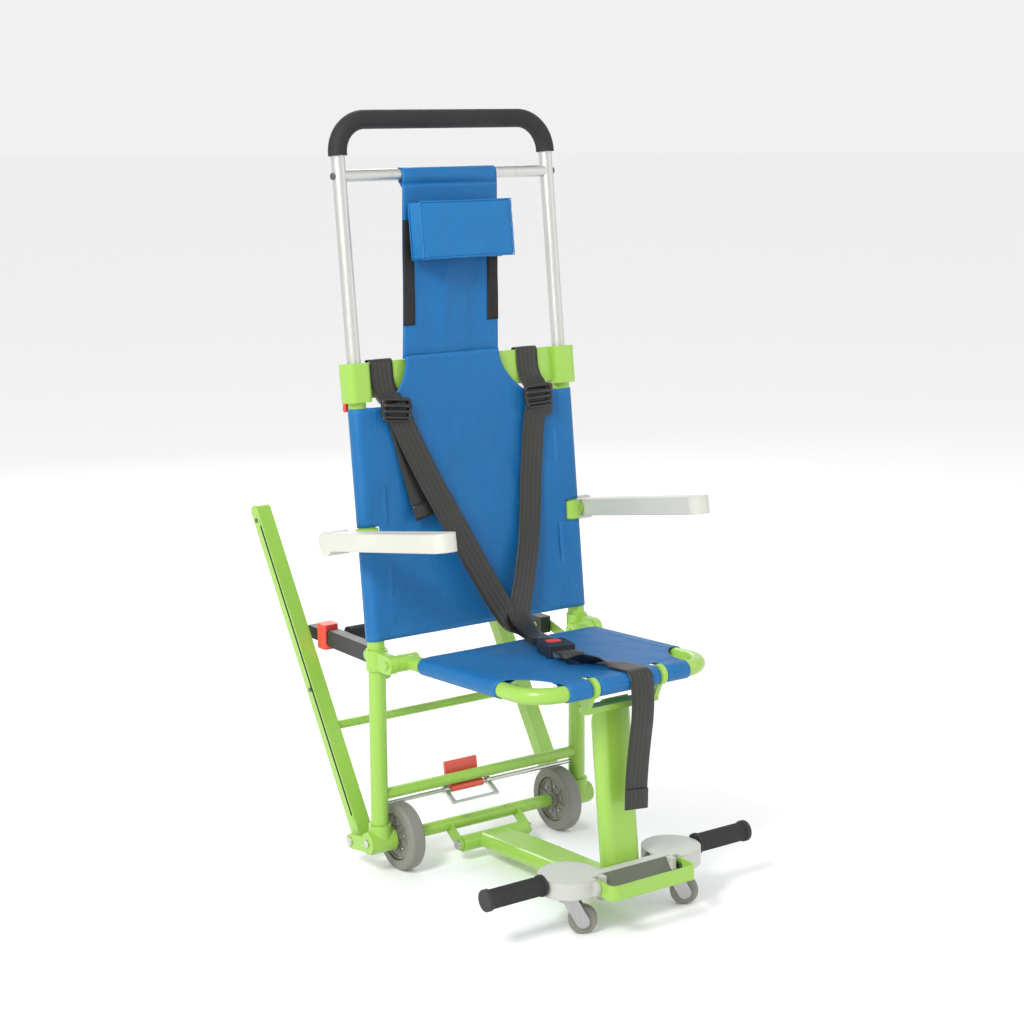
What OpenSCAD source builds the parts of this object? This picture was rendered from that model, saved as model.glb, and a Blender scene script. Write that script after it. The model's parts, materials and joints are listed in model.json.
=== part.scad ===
// Folding stair chair for carrying a seated person on steps and level ground.
// Millimetres. +Z up, the chair faces -Y, +X is on the sitter's left.
// The origin is on the floor, under the middle of the bounding box.

/* [Main frame] */
// Half the distance between the two post centres
post_x = 227; // [215:1:245]
// Diameter of the posts
post_d = 32; // [28:1:34]
// Height of the bend where the posts start to lean back
bend_z = 411; // [390:1:440]
// Lean of the back from the vertical, in degrees
recline = 6.5; // [4:0.5:9]
// Distance from the bend to the top of the yoke, along the posts
yoke_s = 533; // [500:1:560]
// Height of the yoke sockets
yoke_h = 70; // [60:1:80]

/* [Telescopic handle] */
// Diameter of the aluminium handle tube
handle_d = 25; // [22:1:25]
// Distance from the yoke's top to the centre of the top bar, along the posts
handle_rise = 430; // [400:1:460]
// Distance from the yoke's top to the crossbar, along the posts
crossbar_rise = 331; // [310:1:350]

/* [Seat] */
// Distance from the seat's hinge to its front tube
seat_l = 388; // [370:1:410]
// Half the distance between the seat's side tube centres
seat_x = 190; // [180:1:192]
// Diameter of the seat tube
seat_d = 28; // [25:1:28]
// Upward slope of the seat towards the front, in degrees
seat_tilt = 3; // [2:0.5:4]

/* [Front leg and footrest] */
// Width of the leg column
leg_w = 76; // [68:1:76]
// Width of the base bar
bar_w = 80; // [70:1:80]
// Height of the footrest's top
foot_top = 108; // [106:1:112]
// Distance from the middle to the outer end of each carrying grip
grip_end = 287; // [270:1:298]

/* [Wheels] */
// Diameter of the rear wheels
wheel_d = 125; // [120:1:130]
// Diameter of the front caster wheels
caster_d = 50; // [46:1:52]

/* [Rear rails] */
// Length of the glide rails between their end screws
rail_l = 672; // [620:1:680]
// Angle of the rails from the vertical, in degrees
rail_angle = 33; // [28:1:35]

/* [Hidden] */

$fn = 64;
run = 0.05;                    // radial clearance of a running fit
wall = 2.5;                    // wall thickness of the hollow bars
gap = 0.4;                     // clearance between soft and hard pieces
post_r = post_d / 2;
handle_r = handle_d / 2;
seat_r = seat_d / 2;
wheel_r = wheel_d / 2;
caster_r = caster_d / 2;

// Hinge lines, as y and z
seat_pivot = [-50, 409];
base_pivot = [-40.4, 35];
seat_front = seat_pivot + seat_l * [-cos(seat_tilt), sin(seat_tilt)];
leg_pivot = base_pivot + seat_front - seat_pivot;
stay_pivot = [70, 398];

// Bounding box: the rail tops are the rearmost point and the foot loop is the foremost one
rail_w = 30;
rail_t = 27;
rail_x = post_x - 2;           // middle of each rail
rail_pivot = [60, 50];         // y and z of the rail pivots
rail_back = rail_pivot[0] + rail_l * sin(rail_angle) + rail_t / 2;
loop_front = leg_pivot[0] - 94; // front face of the foot loop
y_shift = -(rail_back + loop_front) / 2;

module placed() { translate([0, y_shift, 0]) children(); }

// The frame of the reclined back: z along the posts from the bend, y out of the back's plane
module in_back() { placed() translate([0, 0, bend_z]) rotate([-recline, 0, 0]) children(); }

// The seat's own frame: y along the side tubes, with the hinge line as its origin
module in_seat() {
    placed() translate([0, seat_pivot[0], seat_pivot[1]]) rotate([-seat_tilt, 0, 0]) children();
}

// The rails' own frame: z along the rails from their pivots
module in_rails() {
    placed() translate([0, rail_pivot[0], rail_pivot[1]]) rotate([-rail_angle, 0, 0]) children();
}

// A bar of round section from point a to point b
module rod(a, b, r) {
    v = b - a;
    translate(a) rotate([0, acos(v[2] / norm(v)), atan2(v[1], v[0])]) cylinder(h = norm(v), r = r);
}

// A round bar along X, between two x values, at y and z
module xrod(x0, x1, yz, r) { translate([x0, yz[0], yz[1]]) rotate([0, 90, 0]) cylinder(h = x1 - x0, r = r); }

// A block from its lowest corner to its highest corner
module block(a, b) { translate(a) cube(b - a); }

// A block whose four edges along Z are rounded
module pad(a, b, r) {
    translate([0, 0, a[2]]) linear_extrude(b[2] - a[2])
        rounded([a[0], a[1]], [b[0], b[1]], r);
}

// A rectangle with rounded corners, between two corners
module rounded(a, b, r) {
    difference() {
        translate(a) square(b - a);
        for (i = [0, 1], j = [0, 1])
            translate([i ? b[0] : a[0], j ? b[1] : a[1]]) mirror([i, 0]) mirror([0, j])
                difference() {
                    translate([-1, -1]) square(r + 1);
                    translate([r, r]) circle(r);
                }
    }
}

// A flat bar with round ends, between two points of a plane. Its middle is a hair narrower than its ends.
module slot_shape(a, b, r) {
    v = b - a;
    half = r - 0.02;
    translate(a) circle(r);
    translate(b) circle(r);
    translate(a) rotate(atan2(v[1], v[0])) translate([0, -half]) square([norm(v), 2 * half]);
}

// An upright outline with round ends, w wide and t deep
module oval(w, t) { slot_shape([-(w - t) / 2, 0], [(w - t) / 2, 0], t / 2); }

// A plate in the y-z plane, between two x values; its outline is drawn as (y, z)
module yz_plate(x0, x1) {
    translate([x0, 0, 0]) rotate([90, 0, 90]) linear_extrude(x1 - x0) children();
}

module each_side() { for (side = [-1, 1]) scale_x(side) children(); }
module scale_x(side) { if (side < 0) mirror([1, 0, 0]) children(); else children(); }

green = "yellowgreen";
cloth = "royalblue";

// ---- Main frame ----

collar_d = post_d + 10;
post_foot = wheel_r + 3.5;     // height of the post's lower end
collar_z = [post_foot - 4, post_foot + 30]; // the hub's collar holds the post's lower end
hub_d = 44;
hub_x = [post_x - 26, post_x + 22];
wheel_x = [hub_x[0] - 36, hub_x[0] - 6];
socket_d = post_d + 14;

// A tube's outside, bent at the origin; it runs down to -low and along the back to high
module bent_tube(r, low, high) {
    translate([0, 0, -low]) cylinder(h = low, r = r);
    sphere(r + 0.15);
    rotate([-recline, 0, 0]) cylinder(h = high, r = r);
}
module post(side) {
    placed() scale_x(side) translate([post_x, 0, bend_z]) difference() {
        bent_tube(post_r, bend_z - post_foot, yoke_s - yoke_h + 6);
        rotate([-recline, 0, 0]) translate([0, 0, 20]) cylinder(h = yoke_s, r = handle_r + run);
    }
}
module post_left() { color(green) post(-1); }
module post_right() { color(green) post(1); }

lug_x = [hub_x[1], hub_x[1] + 6];
axle_r = 6;
screw_r = 6;

module hub(side) {
    placed() scale_x(side) difference() {
        union() {
            xrod(hub_x[0], hub_x[1], [0, wheel_r], hub_d / 2);
            translate([post_x, 0, collar_z[0]]) cylinder(h = collar_z[1] - collar_z[0], r = collar_d / 2);
            yz_plate(lug_x[0], lug_x[1]) {
                translate([0, wheel_r]) circle(hub_d / 2 - 2);
                slot_shape([8, wheel_r - 4], rail_pivot, 14);
            }
        }
        translate([post_x, 0, post_foot]) cylinder(h = 60, r = post_r);
        xrod(hub_x[0] - 1, hub_x[0] + 30, [0, wheel_r], axle_r);
        xrod(lug_x[0] - 1, lug_x[1] + 1, rail_pivot, screw_r);
        xrod(lug_x[1] - 4, lug_x[1] + 1, [0, wheel_r], 4);
    }
}
module hub_left() { color(green) hub(-1); }
module hub_right() { color(green) hub(1); }

// The screws that the rails and the base bar turn on, and the screws in the middle of the hub plates
module frame_screws() {
    color("silver") placed() each_side() {
        xrod(bar_w / 2 + 10, link_x[1], base_pivot, pin_r);
        xrod(link_x[1], link_x[1] + 5, base_pivot, 9);
        xrod(rail_x - rail_w / 2 - 2, lug_x[1], rail_pivot, screw_r);
        xrod(lug_x[1], lug_x[1] + 3, rail_pivot, 8);
        xrod(lug_x[1] - 4, lug_x[1], [0, wheel_r], 4);
        xrod(lug_x[1], lug_x[1] + 3, [0, wheel_r], 7);
    }
}

axle_tube_x = wheel_x[0] - 7;
axle_tube_r = 12;
// The tube between the rear wheels, with the two welded plates that carry the base bar
module axle_tube() {
    color(green) placed() difference() {
        union() {
            xrod(-axle_tube_x, axle_tube_x, [0, wheel_r], axle_tube_r);
            each_side() yz_plate(link_x[0], link_x[1]) slot_shape([0, wheel_r], base_pivot, 11);
        }
        each_side() xrod(axle_tube_x - 30, axle_tube_x + 1, [0, wheel_r], axle_r);
        each_side() xrod(link_x[0] - 1, link_x[1] + 1, base_pivot, pin_r);
    }
}

// Each steel axle runs from the hub through the wheel into the axle tube
module wheel_axles() {
    color("silver") placed() each_side() difference() {
        union() {
            xrod(axle_tube_x - 30, hub_x[0] + 30, [0, wheel_r], axle_r);
            xrod(wheel_x[1] + 0.5, hub_x[0], [0, wheel_r], 10);
            xrod(axle_tube_x, wheel_x[0] - 0.5, [0, wheel_r], 10);
        }
        translate([post_x, 0, post_foot]) cylinder(h = 60, r = post_r);
    }
}

cross_z = wheel_d + 26;
cross_r = 10.5;
// A bar between the posts, at y and z
module between_posts(yz, r) {
    placed() difference() {
        xrod(-post_x, post_x, yz, r);
        each_side() translate([post_x, 0, post_foot]) cylinder(h = 200, r = post_r);
    }
}
module cross_tube() { color(green) between_posts([0, cross_z], cross_r); }
// The steel rod that the pedal turns on
module pedal_rod() { color("silver") between_posts(pedal_line, rod_r); }

plate_t = 12;
plate_rise = 6;                // the plate stops short of the sockets' lower ends
module yoke() {
    color(green) in_back() difference() {
        union() {
            each_side() translate([post_x, 0, yoke_s - yoke_h]) linear_extrude(yoke_h)
                rounded([-socket_d / 2, -socket_d / 2], [socket_d / 2, socket_d / 2], 12);
            block([-post_x, -plate_t / 2, yoke_s - yoke_h + plate_rise], [post_x, plate_t / 2, yoke_s]);
        }
        each_side() translate([post_x, 0, yoke_s - yoke_h - 1]) {
            cylinder(h = 7, r = post_r);
            cylinder(h = yoke_h + 2, r = handle_r + run);
        }
    }
    // Ears and pins that the lock levers turn on
    color(green) in_back() each_side() {
        for (x = [-12, 8.5])
            yz_plate(post_x + x, post_x + x + 3.5)
                slot_shape([socket_d / 2 - 3, lever_pivot[1]], lever_pivot, 6);
        xrod(post_x - 10, post_x + 10, lever_pivot, lever_pin_r);
    }
}

// ---- Handle locks ----
lever_pivot = [socket_d / 2 + 6, yoke_s - 20];
lever_pin_r = 3;
module lock_lever(side) {
    color("crimson") in_back() scale_x(side) difference() {
        yz_plate(post_x - 8, post_x + 8) {
            slot_shape(lever_pivot + [0, 1.5], lever_pivot - [0, 38], 5);
            slot_shape(lever_pivot - [0, 38], lever_pivot + [4, -62], 5);
        }
        xrod(post_x - 20, post_x + 20, lever_pivot, lever_pin_r + run);
    }
}
module lock_lever_left() { lock_lever(-1); }
module lock_lever_right() { lock_lever(1); }

// ---- Links from the axle tube to the base bar's pivot ----
link_x = [74, 80];
pin_r = 6;

// ---- The pin that joins the leg's shoe to the base bar ----
leg_pin_r = 5;
module leg_pin() { color("silver") placed() xrod(-shoe_x - 2, shoe_x + 2, leg_pivot, leg_pin_r); }

// ---- Seat hinge brackets ----
ear_x = [post_x - 5, post_x + 11];
knuckle_r = 17;
hinge_pin_r = 5;
module seat_bracket(side) {
    placed() scale_x(side) {
        difference() {
            union() {
                translate([post_x, 0, seat_pivot[1] - 19]) cylinder(h = 38, r = post_r + 4);
                yz_plate(ear_x[0], ear_x[1]) slot_shape([-18, seat_pivot[1]], seat_pivot, knuckle_r);
            }
            translate([post_x, 0, bend_z]) bent_tube(post_r, 60, 60);
        }
        xrod(seat_x - seat_r, ear_x[0], seat_pivot, hinge_pin_r);
        xrod(ear_x[1], ear_x[1] + 4, seat_pivot, 7);
    }
}
module seat_bracket_left() { color(green) seat_bracket(-1); }
module seat_bracket_right() { color(green) seat_bracket(1); }

// ---- Stay brackets on the posts ----
stay_plate_x = [post_x - post_r - 7, post_x - post_r - 3];
stay_root = 374;               // height of the welded tab
module stay_brackets() {
    color(green) placed() each_side() difference() {
        union() {
            block([stay_plate_x[0], -10, stay_root], [post_x - post_r + 6, 14, stay_root + 8]);
            yz_plate(stay_plate_x[0], stay_plate_x[1])
                slot_shape([0, stay_root + 4], stay_pivot, 9);
            xrod(stay_x[0] - 2, stay_plate_x[1], stay_pivot, hinge_pin_r);
        }
        translate([post_x, 0, 300]) cylinder(h = bend_z - 300, r = post_r);
    }
}

// ---- Armrests ----
arm_pivot_s = 219;             // along the posts
arm_x = [post_x + 26, post_x + 70];
arm_h = 32;
arm_front = 345;
arm_rear = 58;
arm_rise = 9.3;                // slope of the armrests in use, in degrees
arm_yz = [sin(recline), cos(recline)] * arm_pivot_s + [0, bend_z];
module arm_mount(side) {
    in_back() scale_x(side) difference() {
        union() {
            translate([post_x, 0, arm_pivot_s - 17]) cylinder(h = 34, r = post_r + 5);
            xrod(post_x, arm_x[0] - 1, [0, arm_pivot_s], 13);
            xrod(post_x, arm_x[0] + 30, [0, arm_pivot_s], 7);
        }
        translate([post_x, 0, 0]) cylinder(h = yoke_s, r = post_r);
    }
}
module arm_mount_left() { color(green) arm_mount(-1); }
module arm_mount_right() { color(green) arm_mount(1); }

module armrest(side) {
    color("whitesmoke") placed() scale_x(side) translate([0, arm_yz[0], arm_yz[1]]) rotate([-arm_rise, 0, 0])
        difference() {
            union() {
                translate([0, 0, -arm_h / 2]) linear_extrude(arm_h)
                    rounded([arm_x[0], -arm_front], [arm_x[1], arm_rear - 20], 20);
                yz_plate(arm_x[0], arm_x[1]) slot_shape([arm_rear - 24, 0], [arm_rear - 26, -4], 21);
            }
            xrod(arm_x[0] - 1, arm_x[0] + 31, [0, 0], 7 + run);
        }
}
module armrest_left() { armrest(-1); }
module armrest_right() { armrest(1); }

// ---- Backrest ----
back_t = 2.4;                  // thickness of the sheets as solids
sleeve_r = post_r + gap + 2;
back_low = 32;
back_high = 452;
shoulder_x = 160;
tip_x = 103;
tip_s = yoke_s + 6;
tip_shift = -18;               // the top of the cover is pulled to one side
sheet_front = -(post_r + gap + back_t);
module backrest_sheet() {
    color(cloth) in_back() difference() {
        union() {
            each_side() translate([post_x, 0, back_low]) cylinder(h = back_high - back_low, r = sleeve_r);
            rotate([90, 0, 0]) translate([0, 0, -sheet_front - back_t]) linear_extrude(back_t) polygon([
                [-post_x, back_low], [post_x, back_low], [post_x, back_high],
                [shoulder_x + tip_shift / 2, back_high], [tip_x + tip_shift + 14, tip_s - 50],
                [tip_x + tip_shift, tip_s], [-tip_x + tip_shift, tip_s],
                [-tip_x + tip_shift - 14, tip_s - 50], [-shoulder_x + tip_shift / 2, back_high],
                [-post_x, back_high]]);
        }
        each_side() translate([post_x, 0, -10]) cylinder(h = yoke_s, r = post_r + gap);
        // Room for the armrest mounts on the posts
        each_side() translate([post_x, 0, arm_pivot_s - 19]) cylinder(h = 38, r = post_r + 6);
    }
}

// ---- Shoulder straps ----
strap_w = 48;
strap_t = 2.5;
loop_x = [-176, 146];          // middle of each strap on the yoke
strap_y = sheet_front - 1;     // back face of the straps, in the back's frame
strap_end = [38, 66];          // x and s where the shoulder straps meet
strap_low_y = -52;

// A flat strap between two points of the back's plane, w wide and t thick
module strap_run(a, b, w, t) {
    v = b - a;
    n = cross([0, 1, 0], v / norm(v));
    hull() for (p = [a, b], k = [-1, 1])
        translate(p + n * k * (w / 2 - t / 2)) rotate([90, 0, 0]) cylinder(h = t, r = t / 2, $fn = 32);
}
module shoulder_strap(i) {
    color("dimgray") in_back() {
        x = loop_x[i];
        top = yoke_s + 1;
        low = yoke_s - yoke_h + plate_rise - 4;
        // Loop round the yoke's plate
        difference() {
            block([x - strap_w / 2, -plate_t / 2 - 1 - strap_t, low],
                [x + strap_w / 2, plate_t / 2 + 1 + strap_t, top + strap_t]);
            block([x - strap_w, -plate_t / 2 - 1, low + strap_t], [x + strap_w, plate_t / 2 + 1, top]);
        }
        // Run down the front to the lap buckle
        foot = [strap_end[0] + i * 6, strap_low_y + 4 + i * 6, strap_end[1] + 10];
        strap_run([x, strap_y, low - 40], foot, strap_w, strap_t);
    }
}
module shoulder_strap_left() { shoulder_strap(0); }
module shoulder_strap_right() { shoulder_strap(1); }

buckle_h = 34;
module strap_buckle(i) {
    color("black") in_back() translate([loop_x[i], strap_y - 14, yoke_s - yoke_h - 32])
        block([-strap_w / 2 - 4, 0, 0], [strap_w / 2 + 4, 10, buckle_h]);
}
module strap_buckle_left() { strap_buckle(0); }
module strap_buckle_right() { strap_buckle(1); }

// ---- Handle ----
handle_bend = 60;              // radius of the handle's corners
foam_r = handle_r + 4.5;
foam_drop = 3;                 // how far the foam runs down each side
handle_low = yoke_s - 190;     // the tubes' lower ends, inside the posts
module handle_shape(r, low) {
    top = yoke_s + handle_rise;
    each_side() {
        translate([post_x, 0, low]) cylinder(h = top - handle_bend - low, r = r);
        translate([post_x - handle_bend, 0, top - handle_bend]) rotate([90, 0, 0])
            rotate_extrude(angle = 90) translate([handle_bend, 0]) circle(r);
    }
    xrod(-post_x + handle_bend, post_x - handle_bend, [0, top], r);
}
module handle_tube() {
    color("silver") in_back() difference() {
        handle_shape(handle_r, handle_low);
        handle_shape(handle_r - 2, handle_low - 1);
    }
}
module handle_foam() {
    color("black") in_back() difference() {
        handle_shape(foam_r, yoke_s + handle_rise - handle_bend - foam_drop);
        handle_shape(handle_r, handle_low - 1);
    }
}
crossbar_r = 11;
crossbar_s = yoke_s + crossbar_rise;
module crossbar() {
    color("silver") in_back() difference() {
        xrod(-post_x, post_x, [0, crossbar_s], crossbar_r);
        each_side() translate([post_x, 0, handle_low]) cylinder(h = 800, r = handle_r);
    }
}
module crossbar_bolts() {
    color("dimgray") in_back() each_side() difference() {
        union() {
            xrod(post_x, post_x + handle_r + 2, [0, crossbar_s], 3.5);
            xrod(post_x + handle_r - 1, post_x + handle_r + 3, [0, crossbar_s], 6);
        }
        translate([post_x, 0, handle_low]) cylinder(h = 800, r = handle_r);
    }
}

panel_y = -(crossbar_r + gap);
module head_panel() {
    color(cloth) in_back() difference() {
        union() {
            xrod(-tip_x, tip_x, [0, crossbar_s], crossbar_r + gap + back_t);
            translate([0, panel_y, 0]) rotate([90, 0, 0]) linear_extrude(back_t) polygon([
                [-tip_x, crossbar_s], [tip_x, crossbar_s],
                [tip_x + tip_shift, tip_s + 2], [-tip_x + tip_shift, tip_s + 2]]);
        }
        xrod(-post_x, post_x, [0, crossbar_s], crossbar_r + gap);
    }
}

cushion_w = 200;
cushion_h = 104;
cushion_t = 46;
cushion_s = 760;
module head_cushion() {
    color(cloth) in_back() translate([-4, sheet_front - 1.4 - cushion_t, cushion_s - cushion_h / 2])
        pad([-cushion_w / 2, 0, 0], [cushion_w / 2, cushion_t, cushion_h], 6);
}

// ---- Seat ----
corner_r = 58;
module seat_path(r, back) {
    each_side() {
        translate([seat_x, back, 0]) rotate([90, 0, 0]) cylinder(h = seat_l - corner_r + back, r = r);
        translate([seat_x - corner_r, -seat_l + corner_r, 0]) rotate([0, 0, -90])
            rotate_extrude(angle = 90) translate([corner_r, 0]) circle(r);
    }
    xrod(-seat_x + corner_r, seat_x - corner_r, [-seat_l, 0], r);
}
module seat_tube() {
    color(green) in_seat() difference() {
        union() {
            seat_path(seat_r, 0);
            each_side() xrod(seat_x - seat_r - 2, ear_x[0] - 0.5, [0, 0], seat_r + 1.5);
        }
        each_side() xrod(seat_x - seat_r - 3, ear_x[0], [0, 0], hinge_pin_r + run);
    }
}

seat_rear = -52;               // the sheet's rear edge
cutout = 96;                   // how far back the corner cut-outs reach
notch_x = 73;
notch_w = 12;
seat_sheet_t = 2.2;
module seat_sheet() {
    out_r = seat_r + gap + seat_sheet_t;
    color(cloth) in_seat() difference() {
        union() {
            each_side() translate([seat_x, seat_rear, 0]) rotate([90, 0, 0])
                cylinder(h = seat_l - cutout + seat_rear, r = out_r);
            xrod(-(seat_x - 60), seat_x - 60, [-seat_l, 0], out_r);
            translate([0, 0, seat_r + gap]) linear_extrude(seat_sheet_t) polygon([
                [-seat_x, seat_rear], [seat_x, seat_rear], [seat_x, -seat_l + cutout],
                [seat_x - 40, -seat_l + cutout - 26], [seat_x - 60, -seat_l + 30], [seat_x - 60, -seat_l],
                [-seat_x + 60, -seat_l], [-seat_x + 60, -seat_l + 30],
                [-seat_x + 40, -seat_l + cutout - 26], [-seat_x, -seat_l + cutout]]);
        }
        seat_path(seat_r + gap, 0);
        // Notches where the leg's clips hold the front tube
        each_side() translate([notch_x, -seat_l, 0])
            block([-notch_w / 2 - 2, -30, -30], [notch_w / 2 + 2, 24, 30]);
    }
}

// ---- Lap buckle and straps, in the seat's frame ----
lap_z = seat_r + gap + seat_sheet_t + 0.6;
lap_turn = 15;                 // the buckle points forward and a little sideways, in degrees
lap_at = [10, -150];
module lap_place() { in_seat() translate([lap_at[0], lap_at[1], lap_z]) rotate(-lap_turn) children(); }
button_travel = 2;
module lap_buckle() {
    color("black") lap_place() difference() {
        pad([-26, -74, 0], [26, -12, 20], 6);
        pad([-13, -40, 12], [13, -20, 21], 3);
        block([-21, -75, 7], [21, -50, 12]);
    }
}
module buckle_button() {
    color("crimson") lap_place() pad([-12.9, -39.9, 12 + button_travel], [12.9, -20.1, 21], 2.9);
}
module buckle_tongue() {
    color("silver") lap_place() {
        block([-20.5, -90, 7.5], [20.5, -50.5, 11.5]);
        block([-25, -104, 6], [25, -90, 13]);
    }
}
tail_x = 8;
module lap_strap() {
    color("dimgray") in_seat() {
        strap_flat([lap_at[0] - 27, lap_at[1] - 106], [tail_x, -seat_l - 4], strap_w, lap_z);
    }
}
// A strap lying flat between two points of the seat's plane
module strap_flat(a, b, w, z) {
    translate([0, 0, z]) linear_extrude(strap_t) polygon([
        a - [w / 2, 0], a + [w / 2, 0], b + [w / 2, 0], b - [w / 2, 0]]);
}
module strap_tail() {
    color("dimgray") placed() translate([tail_x, seat_front[0] - seat_r - 6, 0])
        block([-strap_w / 2 - 4, -strap_t, 206], [strap_w / 2 - 4, 0, seat_front[1] + seat_r]);
}

// ---- Leg ----
leg_top = seat_front + [46.5, -33.3]; // y and z of the middle of the column's upper end
leg_t = 36;
fold = 62;                     // how far the seat folds up, in degrees
clip_r = seat_r + 4;
head = [seat_front + [7.5, -48.3], seat_front + [31, -37.3]];
module in_leg(lean) { placed() translate([0, leg_pivot[0], leg_pivot[1]]) rotate([-lean, 0, 0]) children(); }
module leg_column() {
    v = leg_top - leg_pivot;
    lean = atan2(v[0], v[1]);
    color(green) difference() {
        in_leg(lean) linear_extrude(norm(v) - 2) oval(leg_w, leg_t);
        in_leg(lean) linear_extrude(norm(v) - 40) oval(leg_w - 2 * wall, leg_t - 2 * wall);
        placed() block([-60, leg_pivot[0] - 60, 0], [60, leg_pivot[0] + 60, shoe_z[1]]);
        placed() head_block();
        // The rear of the top is cut back, so the seat's cloth clears it when the seat folds up
        placed() translate([0, seat_front[0], seat_front[1]]) rotate([-seat_tilt - fold, 0, 0])
            block([-60, -100, seat_r - 1], [60, 200, 200]);
    }
}
// The flat head between the two clips
module head_block() {
    block([-notch_x - 5, head[0][0], head[0][1]], [notch_x + 5, head[1][0], head[1][1]]);
}
// The head and its two clips, which turn on the seat's front tube in the notches of the sheet
module leg_clips() {
    color(green) placed() {
        head_block();
        each_side() yz_plate(notch_x - notch_w / 2 + 1, notch_x + notch_w / 2 - 1) difference() {
            union() {
                translate(seat_front) circle(clip_r);
                polygon([seat_front + [-12, 0], head[0] + [3, 2], [head[1][0] - 3, head[0][1] + 2],
                    seat_front + [clip_r - 4, 0]]);
            }
            translate(seat_front) circle(seat_r + run);
        }
    }
}
// ---- Base bar, from the links at the rear to the shoe under the footrest ----
bar_t = 28;
module in_base() {
    placed() translate([0, base_pivot[0], base_pivot[1]]) rotate([-seat_tilt, 0, 0]) children();
}
module base_bar() {
    color(green) difference() {
        union() {
            in_base() rotate([90, 0, 0]) linear_extrude(seat_l + 12) difference() {
                oval(bar_w, bar_t);
                oval(bar_w - 2 * wall, bar_t - 2 * wall);
            }
            in_base() xrod(-link_x[0] + 0.5, link_x[0] - 0.5, [0, 0], 15);
            in_base() translate([0, -seat_l, 0])
                block([-bar_w / 2 + 10, -9, -bar_t / 2 + 1], [bar_w / 2 - 10, 9, bar_t / 2 - 1]);
        }
        placed() each_side() xrod(49, link_x[0] + 1, base_pivot, pin_r + run);
        placed() xrod(-bar_w, bar_w, leg_pivot, leg_pin_r + 0.5);
    }
}

// ---- Footrest, with the shoe that the leg stands in ----
lobe = [113, leg_pivot[0] + 2]; // middle of each lobe
lobe_r = 53;
foot_t = 30;
deck_y = [leg_pivot[0] - 40, leg_pivot[0] - 15.5];
shoe_x = bar_w / 2 + 8;
shoe_z = [leg_pivot[1] + 21, leg_pivot[1] + 33];
module footrest() {
    low = foot_top - foot_t;
    color("gainsboro") difference() {
        placed() {
            each_side() {
                translate([lobe[0], lobe[1], low]) cylinder(h = foot_t, r = lobe_r);
                pad([70, lobe[1] - lobe_r, low], [lobe[0], deck_y[1] + 12, foot_top], 4);
            }
            // Deck between the lobes, with a sloping face in front
            yz_plate(-80, 80) polygon([[deck_y[1], low], [deck_y[1], foot_top], [deck_y[0] + 6, foot_top],
                [loop_pivot[0] - 1, low + 4.5], [loop_pivot[0] - 1, low]]);
            // Shoe under the leg, with a cheek on each side of the base bar
            block([-shoe_x, deck_y[0] + 8, shoe_z[0]], [shoe_x, leg_pivot[0] + 26, shoe_z[1]]);
            each_side() yz_plate(bar_w / 2 + 1.5, shoe_x)
                slot_shape(leg_pivot, [leg_pivot[0], shoe_z[0] + 2], 12);
            // Lugs outside the loop's arms
            each_side() yz_plate(loop_x1, loop_x1 + 10)
                slot_shape([lobe[1], loop_pivot[1]], loop_pivot, loop_h / 2);
        }
        // Room for the loop's arms and for the bolt heads
        placed() each_side() {
            xrod(loop_x1 - loop_t - 8, loop_x1 + 0.6, loop_pivot, loop_h / 2 + 1);
            translate([loop_x1 - loop_t - 8, loop_pivot[0], 0]) {
                block([0, -60, 60], [loop_t + 8.6, 0, foot_top + 1]);
                block([0, -60, loop_pivot[1]], [loop_t + 8.6, loop_h / 2 + 1, foot_top + 1]);
            }
        }
        placed() xrod(-shoe_x - 1, shoe_x + 1, leg_pivot, leg_pin_r);
        placed() each_side() translate([lobe[0], lobe[1], 0]) cylinder(h = low + 14, r = stem_r);
        placed() xrod(-200, -60, [lobe[1], carry_z], carry_r);
        placed() xrod(60, 200, [lobe[1], carry_z], carry_r);
        placed() each_side() xrod(loop_x1 - 1, loop_x1 + 6, loop_pivot, 4);
    }
}
stem_r = 6;
carry_z = foot_top - 10;
carry_r = 9;
module carry_tube() {
    color(green) placed() each_side() difference() {
        xrod(lobe[0] - 40, grip_end - 2, [lobe[1], carry_z], carry_r);
        translate([lobe[0], lobe[1], 0]) cylinder(h = foot_top - foot_t + 14, r = stem_r + 0.5);
    }
}
grip_r = 16;
module grips() {
    color("black") placed() each_side() difference() {
        union() {
            xrod(lobe[0] + lobe_r + 3, grip_end, [lobe[1], carry_z], grip_r);
            xrod(lobe[0] + lobe_r + 3, lobe[0] + lobe_r + 8, [lobe[1], carry_z], grip_r + 3);
            xrod(grip_end - 8, grip_end, [lobe[1], carry_z], grip_r + 3);
        }
        xrod(lobe[0], grip_end - 2, [lobe[1], carry_z], carry_r);
    }
}

loop_x1 = 93;
loop_t = 4;
loop_h = 26;
loop_pivot = [leg_pivot[0] - 52, foot_top - 15]; // y and z of the bolts that it turns on
module foot_loop() {
    color(green) placed() difference() {
        intersection() {
            pad([-loop_x1, loop_front, loop_pivot[1] - loop_h],
                [loop_x1, loop_pivot[0] + 30, loop_pivot[1] + loop_h], 14);
            yz_plate(-loop_x1, loop_x1) slot_shape(loop_pivot, [loop_front - 20, loop_pivot[1]], loop_h / 2);
        }
        pad([-loop_x1 + loop_t, loop_front + loop_t, 0], [loop_x1 - loop_t, loop_pivot[0] + 60, 200], 11);
        each_side() xrod(loop_x1 - 10, loop_x1 + 2, loop_pivot, 4 + run);
    }
}
module loop_bolts() {
    color("silver") placed() each_side() {
        xrod(loop_x1 - loop_t - 4.5, loop_x1 - loop_t - 0.5, loop_pivot, 6);
        xrod(loop_x1 - loop_t - 1, loop_x1 + 6, loop_pivot, 4);
    }
}

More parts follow.
